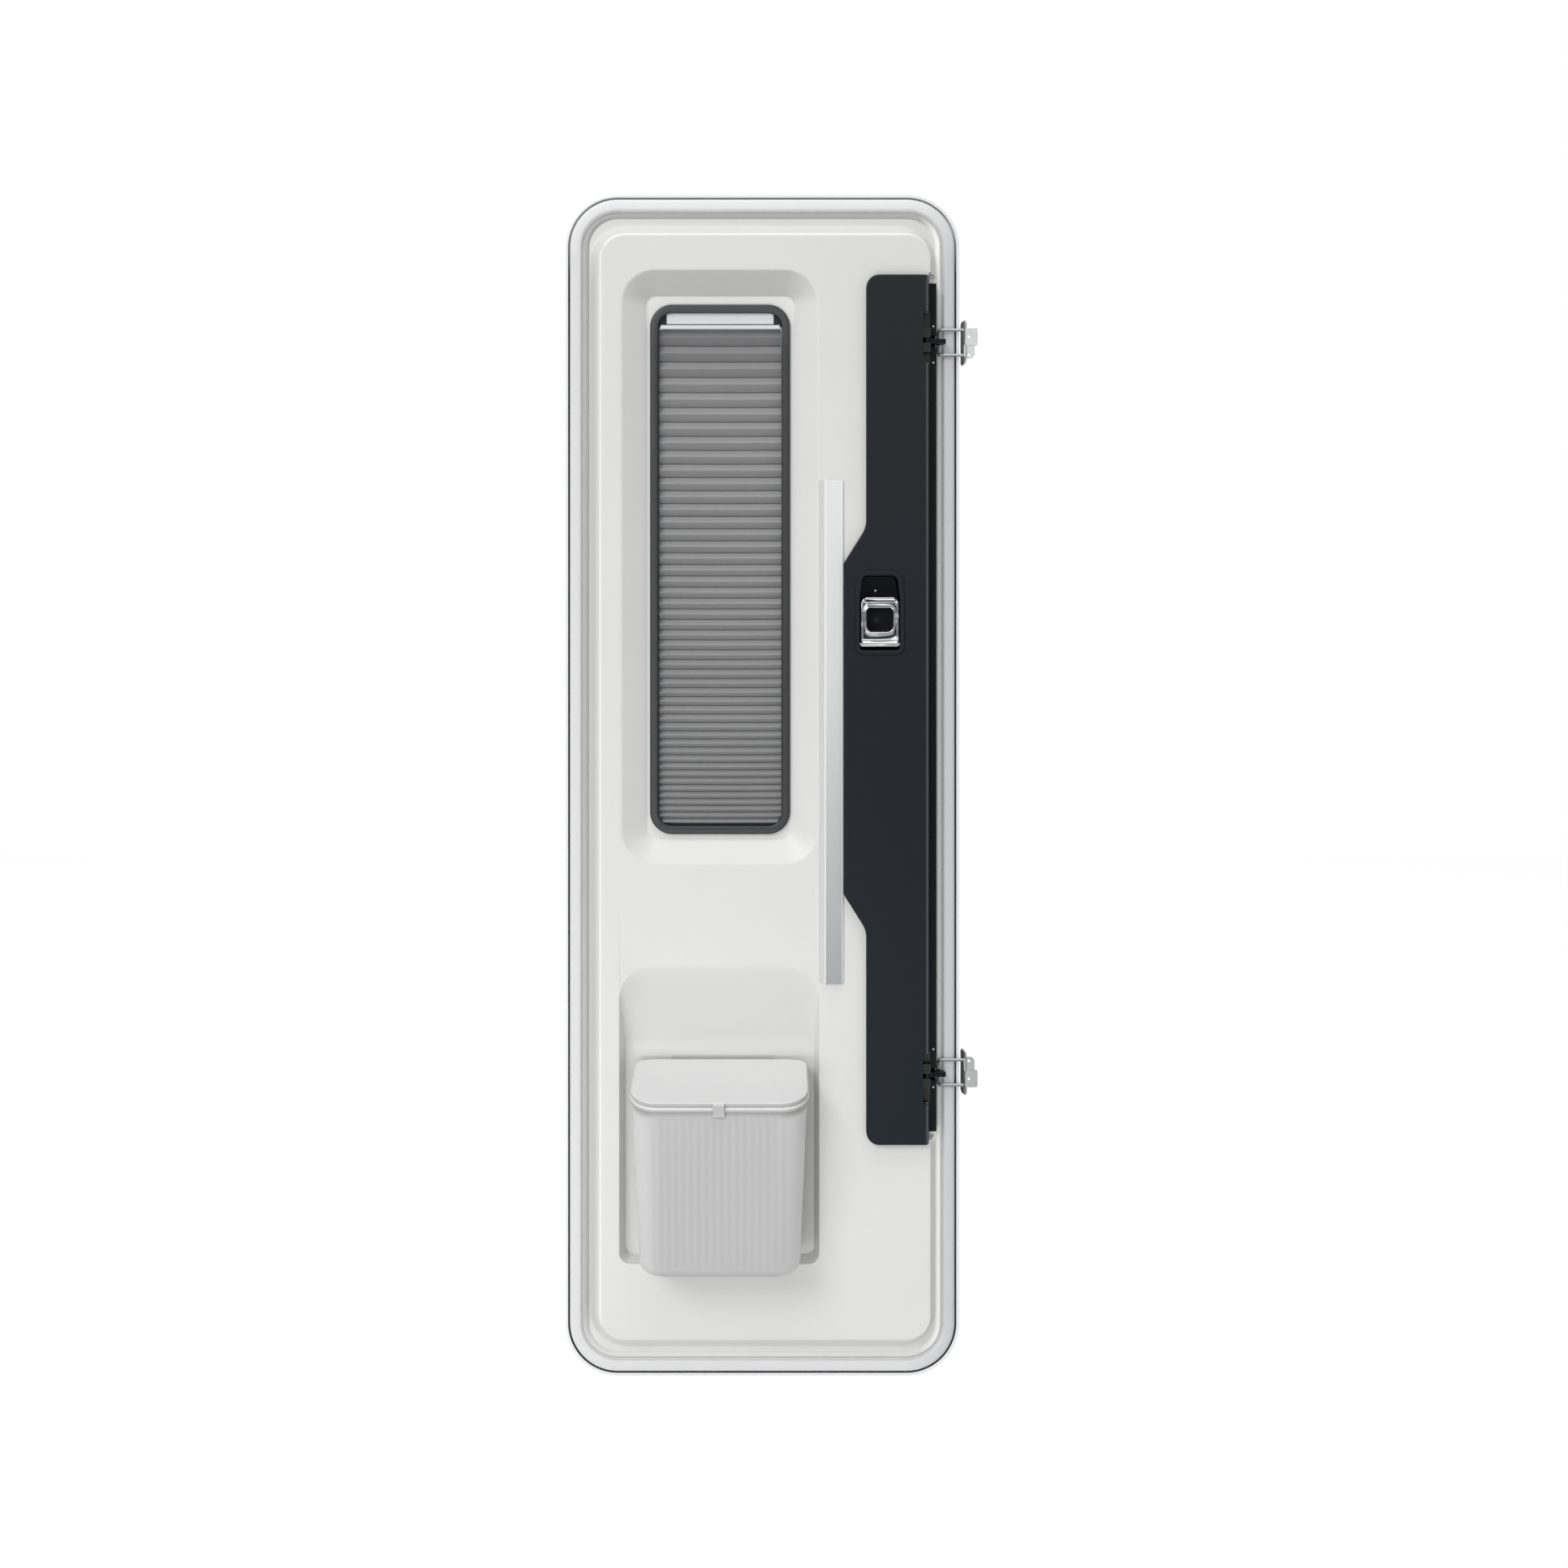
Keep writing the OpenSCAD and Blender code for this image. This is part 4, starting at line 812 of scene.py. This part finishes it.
# %% Blind
CLEAR, CLEAR_CORNER = [141.4, 838.0, 329.9, 1620.6], 21.4
PLEATS, RATIO, PLEAT_DEPTH, CLOTH_BACK = 47, 0.98, 9.4, -18.8
RAIL_Z = leaf_box("blind_rail")[2]
FIRST = (RAIL_Z - CLEAR[1] - 0.3) * (1 - RATIO) / (1 - RATIO ** PLEATS)


def fold(i):
    """Height of the fold over pleat i: each pleat is RATIO times as high as the one over it."""
    return RAIL_Z - FIRST * (1 - RATIO ** i) / (1 - RATIO)


def pleat_path():
    """The cloth from the side, as (height, share of the depth that it stands out)."""
    shape = ((0.0, 0.0), (0.03, 0.35), (0.28, 0.50), (0.47, 0.93), (0.5, 1.0), (0.53, 0.93),
             (0.95, 0.22), (0.985, 0.06))
    path = [(fold(i) - (fold(i) - fold(i + 1)) * share, out) for i in range(PLEATS) for share, out in shape]
    return path + [(fold(PLEATS), 0.0)]


def cloth_point(u, height, out):
    """u runs from 0 at the left side to 1 at the right."""
    gap, sag = 0.8, 0.3 * math.sin(math.pi * u)
    x = CLEAR[0] + gap + u * (CLEAR[2] - CLEAR[0] - 2 * gap)
    low = min(CLEAR_CORNER, max(0.0, CLEAR_CORNER - (height - CLEAR[1])))
    inset = max(0.0, CLEAR_CORNER - math.sqrt(CLEAR_CORNER ** 2 - low ** 2) - 2.5)
    return at(x + (1 - 2 * u) * inset, CLOTH_BACK + (PLEAT_DEPTH - 0.4) * (1 - out), height - sag)


def cloth(columns=16):
    path = pleat_path()
    rings = [[cloth_point(k / columns, *place) for place in path] for k in range(columns + 1)]
    return skin(rings, caps=(False, False), around=False, angle=60)


piece("pleated_cloth", cloth(), CLOTH, instead=("blind_pleats",))
for solid, finish, bevel in (("blind_cassette", BLIND_WHITE, 0.8), ("blind_rail", BLIND_WHITE, 0.9),
                             ("blind_end_caps", MATT_BLACK, 0.6)):
    dress(solid, finish, bevel)

# %% [markdown]
# ## Lock cover
# The cover hides the rods that join the two latches. It is a shallow dark moulding with rounded
# front edges, a wider middle for the handle, and a notch in its edge at each latch.

# %% Cover
COVER_LEFT, COVER_RIGHT, WIDE_LEFT = 457.0, 551.0, 423.3
COVER_FOOT, COVER_TOP, WIDE_FOOT, WIDE_TOP = 361, 1672, 672, 1303
LATCHES = ((1573.5, 1), (464.2, -1))


def cover_outline(d):
    """The cover's outline, drawn in by d. Its left side widens to the middle at 32 degrees."""
    lean = math.tan(math.radians(16))
    left, right, wide = COVER_LEFT + d, COVER_RIGHT - d, WIDE_LEFT + d
    foot, top, outer = COVER_FOOT + d, COVER_TOP - d, 19.5 - d
    step = (COVER_LEFT - WIDE_LEFT) / math.tan(math.radians(32))
    high = WIDE_TOP - 40 * lean - d * lean
    low = WIDE_FOOT + 40 * lean + d * lean
    return outline([(left, foot, outer), (right, foot, 4 - d * 0.9), (right, top, 4 - d * 0.9),
                    (left, top, outer), (left, high, 40 + d), (wide, high - step, 6 - d),
                    (wide, low + step, 6 - d), (left, low, 40 + d)], 10)


def cover_blank():
    path = [(0.5, 0), (0, 0.5)] + [tuple(p) for p in profile([(0, 0.6), (0, 12, 3.0), (4.0, 12)], 7)][1:]
    return skin([upright(cover_outline(d), PAN - y) for d, y in path], angle=40)


def notch(z, away):
    """Room for a latch in the cover's right edge, with its left corners cut off."""
    low, high = sorted((z - 35 * away, z + 42.7 * away))
    points = outline([(LATCH_LEFT, low + 5, 2), (546, low, 2), (556, low, 0.1), (556, high, 0.1),
                      (546, high, 2), (LATCH_LEFT, high - 5, 2)], 5)
    return skin([upright(points, y) for y in (-40, -62)])


openings = [notch(z, away) for z, away in LATCHES] + [prism([444.55, 1103.7, 509.75, 1220.7], 8, -40, -62)]
piece("cover_moulding", cut(cover_blank(), openings, 38), COVER, instead=("lock_cover",))

# %% [markdown]
# ## Handle cup
# The cup is a separate moulding that is clipped into the cover. Its rim stands a little proud with
# a soft edge, and the pocket narrows towards the top. At the back there is a small round hole
# and the bright head of a fixing screw.

# %% Cup
CUP_FACE, CUP_FLOOR, CUP_LEAN = -60.0, -27.0, 4.6
HOLE_X, HOLE_Z = 474.15, 1152.7


def cup_outline(d, flare=0.0):
    left, foot, right, top = grow([446.85, 1106, 507.45, 1218.4], d)
    r = 6 + d
    return outline([(left, foot, r), (right, foot, r), (right, 1186, 20), (right - flare, top, r + 3),
                    (left + flare, top, r + 3), (left, 1186, 20)], 8)


def cup():
    rings = [(6.8, 0.6, -57.0), (6.8, 0.6, -58.2)]
    rings += [(6.8 - p.x, 0.7, -58.2 - p.y) for p in profile([(0, 0), (0, 1.8, 1.7), (3, 1.8)])[1:]]
    rings += [(6.8 - p.x, 1, CUP_FACE - p.y) for p in profile([(3, 0), (6.8, 0, 1.4), (6.8, -4)])[1:]]
    rings += [(-0.1, 1, -31.0), (-1.2, 1, -27.6), (-3.0, 1, CUP_FLOOR)]
    return skin([upright(cup_outline(d, CUP_LEAN * share), y) for d, share, y in rings],
                caps=(False, True), angle=40)


def circle(steps):
    """Pairs of cosine and sine, once round."""
    return [(math.cos(2 * math.pi * k / steps), math.sin(2 * math.pi * k / steps)) for k in range(steps)]


def round_bar(points, radius, sides=24):
    """A bar through model points, with its rings kept square on to the way it runs."""
    rings = []
    points = [Vector(p) for p in points]
    for before, p, after in zip(points[:1] + points, points, points[1:] + points[-1:]):
        way = (after - before).normalized()
        side = way.cross(Vector((0, 1, 0)) if abs(way.y) < 0.9 else Vector((1, 0, 0))).normalized()
        up = way.cross(side)
        rings.append([p + radius * (c * side + s * up) for c, s in circle(sides)])
    return skin(rings)


def pan_head(x, y, z, radius, rise, sides=20):
    """A low rounded head that faces the room."""
    steps = ((1.0, 0.0), (1.0, 0.25), (0.92, 0.6), (0.7, 0.88), (0.4, 1.0))
    rings = [[at(x + radius * r * c, y - rise * h, z + radius * r * s) for c, s in circle(sides)]
             for r, h in steps]
    return skin(rings, caps=(False, True), angle=60)


def hole_bar(front, back, radius):
    return round_bar([at(HOLE_X, y, HOLE_Z) for y in (front, back)], radius)


piece("cup_moulding", cut(cup(), [hole_bar(-29, -20, 0.0049)], 38), COVER, instead=("handle_cup",),
      slot="cover_plastic")
piece("cup_hole_floor", hole_bar(-25.4, -25.2, 0.0056), MATT_BLACK)
piece("cup_screw", pan_head(472.4, CUP_FLOOR, 1196.3, 2.5, 1.2), CHROME)

# %% [markdown]
# ## Chrome handle
# The inner handle is a die casting with bright chrome on it: a dished plate with a raised rim round
# its finger opening, a lip along the top to pull on, and a barrel at its foot that turns
# on the pin. It moves with its own body.

# %% Handle
HANDLE_X, HANDLE_FOOT, HANDLE_TOP = 477.15, 1111.0, 1186.4


def handle_outer(d):
    left, right, foot, top = HANDLE_X - 28.9 + d, HANDLE_X + 28.9 - d, HANDLE_FOOT + d, HANDLE_TOP - d
    taper, shoulder = 6.5 - d * 0.5, HANDLE_TOP - 8.5
    return outline([(left, foot, 1.5), (right, foot, 1.5), (right, shoulder, 3.5),
                    (right - taper, top, 4), (left + taper, top, 3), (left, shoulder, 3)], 6)


def handle_inner(d):
    left, right, foot = HANDLE_X - 20.0 - d, HANDLE_X + 20.0 + d, HANDLE_FOOT + 22.5 - d
    top, shoulder = HANDLE_TOP - 16.8 + d, HANDLE_TOP - 21 + d * 0.4
    return outline([(left, foot, 10 + d), (right, foot, 10 + d), (right, shoulder, 4 + d),
                    (right - 4, top, 3 + d), (left + 4, top, 3 + d), (left, shoulder, 4 + d)], 6)


def handle_plate():
    """Over the outer edge, down into the dish, over the raised rim and back."""
    outside = ((0, -50.5), (0, -56.4), (0.4, -57.3), (1.2, -57.9), (2.0, -57.9), (2.7, -57.4))
    inside = ((4.2, -56.3), (3.2, -56.6), (2.3, -57.5), (1.4, -57.9), (0.5, -57.5), (0, -56.6),
              (0, -51.2), (0.6, -50.5))
    rings = [upright(handle_outer(d), y) for d, y in outside]
    rings.append(upright(between(handle_outer(3.2), handle_inner(4.2), 0.3), -56.6))
    rings += [upright(handle_inner(d), y) for d, y in inside]
    return skin(rings + rings[:1], caps=(False, False), angle=65)


def pillow(box, corner, steps, fineness, bottom=False):
    """A low block with a soft front: steps of (distance drawn in, depth)."""
    rings = [upright(box_outline(grow(box, -d), max(0.3, corner - d), fineness), y) for d, y in steps]
    return skin(rings, caps=(bottom, True), angle=50)


def handle_barrel():
    """The barrel on the pin and a fine ridge over it, each as (half length, depth, height, radius)."""
    bars = ((28.6, -54, 1115, 0.004, 32), (27.5, -56.6, 1121.5, 0.0014, 16))
    return [round_bar([at(HANDLE_X + half * s, y, z) for s in (-1, 1)], radius, sides)
            for half, y, z, radius, sides in bars]


lip = pillow([HANDLE_X - 23.5, HANDLE_TOP - 10.5, HANDLE_X + 23.5, HANDLE_TOP - 0.6], 3.2,
             ((0, -56.0), (0, -58.8), (0.4, -59.9), (1.4, -60.7), (2.6, -61.0)), 6)
piece("pull_handle", smooth(joined([handle_plate(), lip] + handle_barrel()), 50), CHROME,
      body="inner_handle", instead=("inner_handle",), slot="handle_chrome")
dress("handle_pin", PIN, 0)

# %% [markdown]
# ## Latches
# Each latch is a dark housing behind a notch in the cover, with a forked steel claw on a pin. The
# rail behind the cover's edge is held by rivets, whose bright heads show beside each latch.

# %% Latches
dress("lock_rail", RAIL, 0.4)
for side in ("upper", "lower"):
    for part, finish, bevel in (("latch_housing", LATCH, 0.5), ("claw", CLAW, 0.5), ("claw_pin", PIN, 0.2)):
        dress(f"{side}_{part}", finish, bevel)
heads = [pan_head(559.0, -43.0, z, 1.7, 0.9) for z in (1595.9, 1541.1, 502.2, 445.2)]
piece("rail_rivets", joined(heads), PIN)

# %% [markdown]
# ## Strikers
# The striker is a bent wire: two legs and a bar between them, which the claw holds. The legs are
# riveted into a zinc plated bracket, whose cranked side runs along the door frame and whose
# face takes two screws.

# %% Striker wires and brackets
def wire(z):
    bar_x, depth, bend, half, leg_end = 567.3, -32.0, 6.0, 19.15, 606.8
    path = [(leg_end, half), (575.0, half)]
    for start, middle in ((90, half - bend), (180, bend - half)):
        for i in range(10):
            t = math.radians(start + 90 * i / 9)
            path.append((bar_x + bend + bend * math.cos(t), middle + bend * math.sin(t)))
    path += [(575.0, -half), (leg_end, -half)]
    return round_bar([at(x, depth, z + dz) for x, dz in path], 0.00225, 20)


def plate(points, offset):
    """Sheet metal: a flat outline of model points and the offset to its other face."""
    return skin([points, [p + offset for p in points]], angle=30)


def bracket(z, away):
    """The two flat faces with their screw holes, and the cranked side. The lower one is mirrored."""
    def place(x, y, dz):
        return at(x, y, z + dz * away)

    def flat(y, thickness, corners):
        return plate([place(a.x, y, a.y) for a in outline(corners, 5)], Vector((0, thickness, 0)))

    side = [(602.9, -17, -30), (602.9, -17, 30), (604.2, -22, 33.6), (607.4, -35, 33.6), (608.4, -38, 29),
            (608.4, -38, -24), (607.4, -35, -31), (604.2, -22, -33.6)]
    side = [place(*corner) for corner in side][::away]
    wide = flat(-37.9, 0.0024, [(608.0, -5, 1), (626.6, -5, 2.6), (626.6, 21, 2.2), (608.0, 21, 1.2)])
    tab = flat(-36.4, 0.0022, [(606.0, -24.5, 5), (622.0, -24.5, 7), (622.4, -4, 0.5), (606.0, -4, 0.5)])
    holes = [round_bar([place(613.5, y, dz) for y in (-39, -30)], 0.0022) for dz in (-18.5, 8.5)]
    return [cut(face, holes, 30) for face in (wide, tab)] + [plate(side, Vector((0.0022, 0.0005, 0)))]


for (z, away), side in zip(LATCHES, ("upper", "lower")):
    piece(side + "_wire", wire(z), WIRE, instead=(side + "_striker_loop",), slot="striker_zinc")
    soften(piece(side + "_bracket", smooth(joined(bracket(z, away)), 30), ZINC,
                 instead=(side + "_striker_bracket",), slot="striker_zinc"), 0.5)

# %% [markdown]
# ## Light strip
# The strip is a plain extrusion with a frosted front. Its long edges are softly rounded, and the
# ends are cut square.

# %% Strip
strip = pillow(STRIP_BOX, 1.4, ((0, PAN), (0, -47.4), (0.25, -48.4), (0.9, -48.9), (1.7, -49.0)), 5, True)
piece("strip_light", strip, STRIP, instead=("light_strip",))

# %% [markdown]
# ## Waste bin
# The bin hangs on a steel plate by a hook. Its front is a field of soft upright flutes that fade
# out towards the corners, its foot is rounded, and its rim stands out as a thin bright
# edge under the lid, partly by a painted highlight over painted shade where it turns under.

# %% Bin body
BIN_FOOT, BIN_HEIGHT, BIN_WALL_THICK = 190, 275, 2.2


def on_lid(x, y, z):
    """A model point from one on the lid: x from its middle, y from its hinge, z over its rim."""
    return at(BIN_X + x, BIN_REAR + y * math.cos(TILT) - z * math.sin(TILT),
              HINGE_Z + y * math.sin(TILT) + z * math.cos(TILT))


def bin_plan(half, depth, front_r, rear_r, flute=0.0):
    """Points (x from the middle, y from the back) of the bin's plan, with flutes over the front."""
    points = []

    def add(x, y, nx, ny):
        fade = min(1.0, max(0.0, (102 - abs(x)) / 10)) if y < -depth * 0.45 else 0.0
        wave = flute * fade * (0.5 + 0.5 * math.cos(2 * math.pi * x / FLUTE))
        points.append((x + nx * wave, y + ny * wave))

    def bend(cx, cy, r, start, n):
        for i in range(n + 1):
            t = math.radians(start + 90 * i / n)
            add(cx + r * math.cos(t), cy + r * math.sin(t), math.cos(t), math.sin(t))

    run, parts = half - front_r, 78
    bend(-run, -depth + front_r, front_r, 180, 22)
    for i in range(1, parts):
        add(-run + 2 * run * i / parts, -depth, 0, -1)
    bend(run, -depth + front_r, front_r, 270, 22)
    bend(half - rear_r, -rear_r, rear_r, 0, 8)
    bend(-half + rear_r, -rear_r, rear_r, 90, 8)
    return points


def bin_wall_ring(share, inset, flute=0.0):
    """The bin at a share of its height, drawn in all round by an inset."""
    half, depth = 118.5 + 10.5 * share - inset, 105 + 15 * share - 2 * inset
    ring = []
    for x, y in bin_plan(half, depth, max(2, 42 - inset), max(2, 16 - inset), flute):
        y -= inset
        top = HINGE_Z + y * math.tan(TILT) - 8.5
        ring.append(at(BIN_X + x, BIN_REAR + y, BIN_FOOT + (top - BIN_FOOT) * share))
    return ring


def rim_ring(d, z):
    return [on_lid(x, y, z) for x, y in bin_plan(131.8 - d, 126.6 - d, 42 - d, 16)]


def bin_mesh():
    """Rounded foot, fluted wall, rim, and down again inside to the floor."""
    foot = ((30, 0.0), (20, 0.0), (13, 0.25), (8.5, 1.2), (5.2, 3.0), (2.6, 6.0), (1.0, 9.8), (0.25, 13.6),
            (0.0, 17.5))
    wall = ((0.075, 0.12), (0.10, 0.45), (0.3, 0.45), (0.6, 0.45), (0.93, 0.45), (0.975, 0.3), (1.0, 0.0))
    rim = ((2.9, -8.3), (0.8, -8.2), (0.15, -7.7), (0.0, -6.9), (0.0, -3.8), (0.2, -2.6), (0.8, -1.5),
           (1.7, -0.7), (2.6, -0.4), (5.4, -0.35))
    inside = ((1.0, BIN_WALL_THICK), (0.5, BIN_WALL_THICK), (0.06, BIN_WALL_THICK), (0.025, 5), (0.0105, 16))
    rings = [bin_wall_ring(rise / BIN_HEIGHT, inset) for inset, rise in foot]
    rings += [bin_wall_ring(share, 0.0, flute) for share, flute in wall]
    rings += [rim_ring(d, z) for d, z in rim]
    rings += [bin_wall_ring(share, inset) for share, inset in inside]
    return skin(rings, angle=50)


def ear(side):
    """One of the two ears that hold the lid's pin: half a disc on a foot."""
    half_turn = [math.radians(t) for t in range(0, 181, 15)]
    section = [(2.6 * math.cos(t), 3.5 + 2.6 * math.sin(t)) for t in half_turn] + [(-2.6, -4.4), (2.6, -4.4)]
    return skin([[on_lid(side * x, y, z) for y, z in section] for x in (104.9, 111.9)], angle=40)


def hook():
    section = [(-28.0, 451.0), (-22.7, 451.0), (-22.7, 440.3), (-19.9, 440.3), (-19.9, 453.0), (-28.0, 453.0)]
    return skin([[at(BIN_X + x, y, z) for y, z in section] for x in (-72, 72)], angle=30)


bin_parts = [bin_mesh(), ear(-1), ear(1), hook()]
piece("bin_shell", smooth(joined(bin_parts), 45), BIN, body="bin", instead=("bin_body",),
      slot="bin_plastic")
dress("bin_lid_pin", PIN, 0)
dress("bin_hanger", HANGER, 0.4)

# %% [markdown]
# ## Bin lid
# The lid is a shallow tray turned upside down. Its top is almost flat with a broad soft edge, and it
# sits a little inside the rim of the bin, so the rim shows as a bright line under it, helped by a
# painted highlight. A clasp at its front hooks over the rim.

# %% Lid
LID_EDGE = (2.2, 0.1)


def lid_ring(d, z):
    return [on_lid(x, y, z) for x, y in bin_plan(130 - d, 124.7 - d, max(3, 40 - d), max(3, 16 - d * 0.3))]


def ear_slot(side):
    """Room under the lid for an ear of the bin. It stays closed on top."""
    a, b = sorted((side * 104.4, side * 112.4))
    corners = ((a, 6), (b, 6), (b, -7), (a, -7))
    return skin([[on_lid(x, y, z) for x, y in corners] for z in (-1, 6.35)])


def lid_mesh():
    over = [LID_EDGE, (0.2, 0.1), (0.0, 0.4), (0.0, 5.0), (0.2, 5.7), (0.7, 6.3), (1.5, 6.6), (3.0, 6.75),
            (9.0, 6.95), (14, 7.0), (30, 7.0)]
    under = [(32, 4.6), (3.6, 4.6), (2.5, 4.0), LID_EDGE]
    top = skin([lid_ring(d, z) for d, z in over], caps=(False, True), angle=50)
    floor = skin([lid_ring(d, z) for d, z in under], caps=(True, False), angle=50)
    shell = cut(joined([top, floor], weld=1e-6), [ear_slot(-1), ear_slot(1)], 45)
    return joined([shell, round_bar([on_lid(x, 0, 3.5) for x in (-104.3, 104.3)], 0.0035)])


def clasp():
    section = [(-124.4, 6.2), (-127.6, 5.4), (-129.2, 4.2), (-129.6, 2.0), (-129.6, -9.0),
               (-130.0, -10.4), (-131.0, -11.2), (-131.1, -11.9), (-128.6, -11.9), (-127.6, -10.6),
               (-127.2, 0.0), (-124.5, 0.3)]
    return skin([[on_lid(x, y, z) for y, z in section] for x in (-8.2, -7.8, 7.8, 8.2)], angle=40)


piece("lid_shell", smooth(lid_mesh(), 45), LID, body="bin_lid", instead=("bin_lid",), slot="lid_plastic")
piece("clasp", clasp(), LID, body="bin_lid", instead=("bin_clasp",), slot="lid_plastic")

# %% [markdown]
# ## Outside of the leaf
# The photograph doesn't show the outside. It has what such doors have: a smooth painted skin, the
# black outer frame of the window, and a handle plate with a flap to pull and a lock barrel.

# %% Outside
for solid, finish, bevel in (("outer_skin", SKIN_PAINT, 0), ("outer_handle_plate", OUTER_BLACK, 1.2),
                             ("outer_handle_flap", OUTER_BLACK, 0.8), ("lock_barrel", BARREL, 0.5)):
    dress(solid, finish, bevel)

# %% [markdown]
# ## Small fasteners in the groove
# Small dark screws hold the profile to the core. Their heads sit in the narrow groove between the
# lip and the seal on the hinge side.

# %% Groove screws
groove = [pan_head(5.3, SEAT, z, 1.2, 1.0, 12) for z in (1642, 1477, 977, 674, 149)]
piece("groove_screws", joined(groove), RAIL, slot="rail_plastic")

# %% [markdown]
# ## Stage, lights and camera
# The door hangs a little over the ground, as it does on a vehicle. The floor and the world look
# plain white to the camera and through the pane, while the door gets about half of that light.
# A broad lamp high on the left in front and one overhead shade the slopes of the recesses, one
# behind lights the floor and the outside, and a weak low one lifts the foot of the door. Two boards
# stand behind the camera, dark level with the handle and bright over it, for the chrome to reflect.

# %% Stage
DOOR_MIDDLE = (0.3, 0, 0)


def flat_board(name, corners, material):
    mesh = bpy.data.meshes.new(name)
    mesh.from_pydata(corners, [], [(0, 1, 2, 3)])
    mesh.materials.append(material)
    return into_scene(name, mesh)


def seen_directly(nodes):
    """1 for what the camera sees, also through the pane, and 0 for the light that reaches the door."""
    camera, pane = (nodes.node("ShaderNodeLightPath", {}, {}, f"Is {kind} Ray")
                    for kind in ("Camera", "Transmission"))
    return camera.most(pane)


def stage_floor(half=9.0, height=-1.35):
    paint = Finish("floor_pale")
    fine = paint.noise(2.0, 2.0)
    paint.link(Base_Color=paint.mix(fine, "#c6c6c6", "#cacaca"), Roughness=0.9 + fine * 0.02)
    glow = paint.node("ShaderNodeEmission", {}, {"Color": "#ffffff", "Strength": 1.04})
    both = paint.node("ShaderNodeMixShader", {}, {0: seen_directly(paint) * 0.92,
                                                  1: Value(paint, paint.shader.outputs[0]), 2: glow})
    paint.tree.links.new(both.socket, paint.tree.nodes["Material Output"].inputs["Surface"])
    corners = [(x * half, y * half, height) for x, y in ((-1, -1), (1, -1), (1, 1), (-1, 1))]
    floor = flat_board("floor", corners, paint.material)


def world_light(level):
    """A world that lights the door at a level and looks white to the camera."""
    world = bpy.data.worlds.new("studio")
    bpy.context.scene.world = world
    world.use_nodes = True
    world.node_tree.nodes.clear()
    sky = Nodes(world.node_tree)
    strength = sky.node("ShaderNodeMapRange", {}, {"Value": seen_directly(sky), "To Min": level,
                                                   "To Max": 1.0})
    back = sky.node("ShaderNodeBackground", {}, {"Color": "#ffffff", "Strength": strength})
    out = sky.tree.nodes.new("ShaderNodeOutputWorld")
    sky.tree.links.new(back.socket, out.inputs["Surface"])


def lamp(name, place, target, power, width, depth):
    light = bpy.data.lights.new(name, "AREA")
    light.shape = "RECTANGLE"
    light.size, light.size_y, light.energy = width, depth, power
    thing = into_scene(name, light)
    thing.location = place
    thing.rotation_euler = (Vector(target) - Vector(place)).to_track_quat("-Z", "Y").to_euler()


def card(name, z0, z1, colour, glow):
    """A board behind the camera that only shows as a reflection in bright metal."""
    paint = Finish(name, Emission_Strength=glow)
    tone = paint.mix(paint.noise(1.0, 1.0), colour, colour)
    paint.link(Base_Color=tone, Emission_Color=tone)
    left, right, y = -2.2, 3.6, -5.0
    board = flat_board(name, [(left, y, z0), (right, y, z0), (right, y, z1), (left, y, z1)], paint.material)
    board.visible_camera = board.visible_diffuse = board.visible_shadow = False


stage_floor()
card("dark_board", -0.5, 0.42, "#26292c", 0.0)
card("bright_board", 0.75, 1.6, "#ffffff", 1.5)
world_light(0.49)
lamp("behind", (-1.5, 7.0, 4.5), DOOR_MIDDLE, 420, 5.0, 5.0)
lamp("high_left", (-8.6, -14.0, 11.4), DOOR_MIDDLE, 1500, 8.0, 8.0)
lamp("overhead", (0.3, -2.5, 9.0), DOOR_MIDDLE, 257, 5.0, 3.0)
lamp("low_fill", (-0.2, -2.4, -1.0), (0.3, 0, -0.75), 13, 1.6, 0.5)
print("lamps:", *(light.name for light in bpy.data.lights))

# %% [markdown]
# ## Camera
# The photograph was taken from a little over two metres, level with the handle. A level camera
# keeps the door's sides parallel, and the lens is shifted so that the door stays centred.

# %% Camera
DISTANCE = 2350
camera_data = bpy.data.cameras.new("camera")
camera_data.sensor_width = 36
camera_data.lens = 35.4
camera_data.shift_x = 0.0083
camera_data.shift_y = -0.0901
camera = into_scene("camera", camera_data)
camera.location = at(313.3, LIP - DISTANCE, 1117.4)
camera.rotation_euler = (math.radians(90), 0, 0)
bpy.context.scene.camera = camera
bpy.context.scene.view_settings.view_transform = "Standard"
print("camera at", [round(v, 3) for v in camera.location])
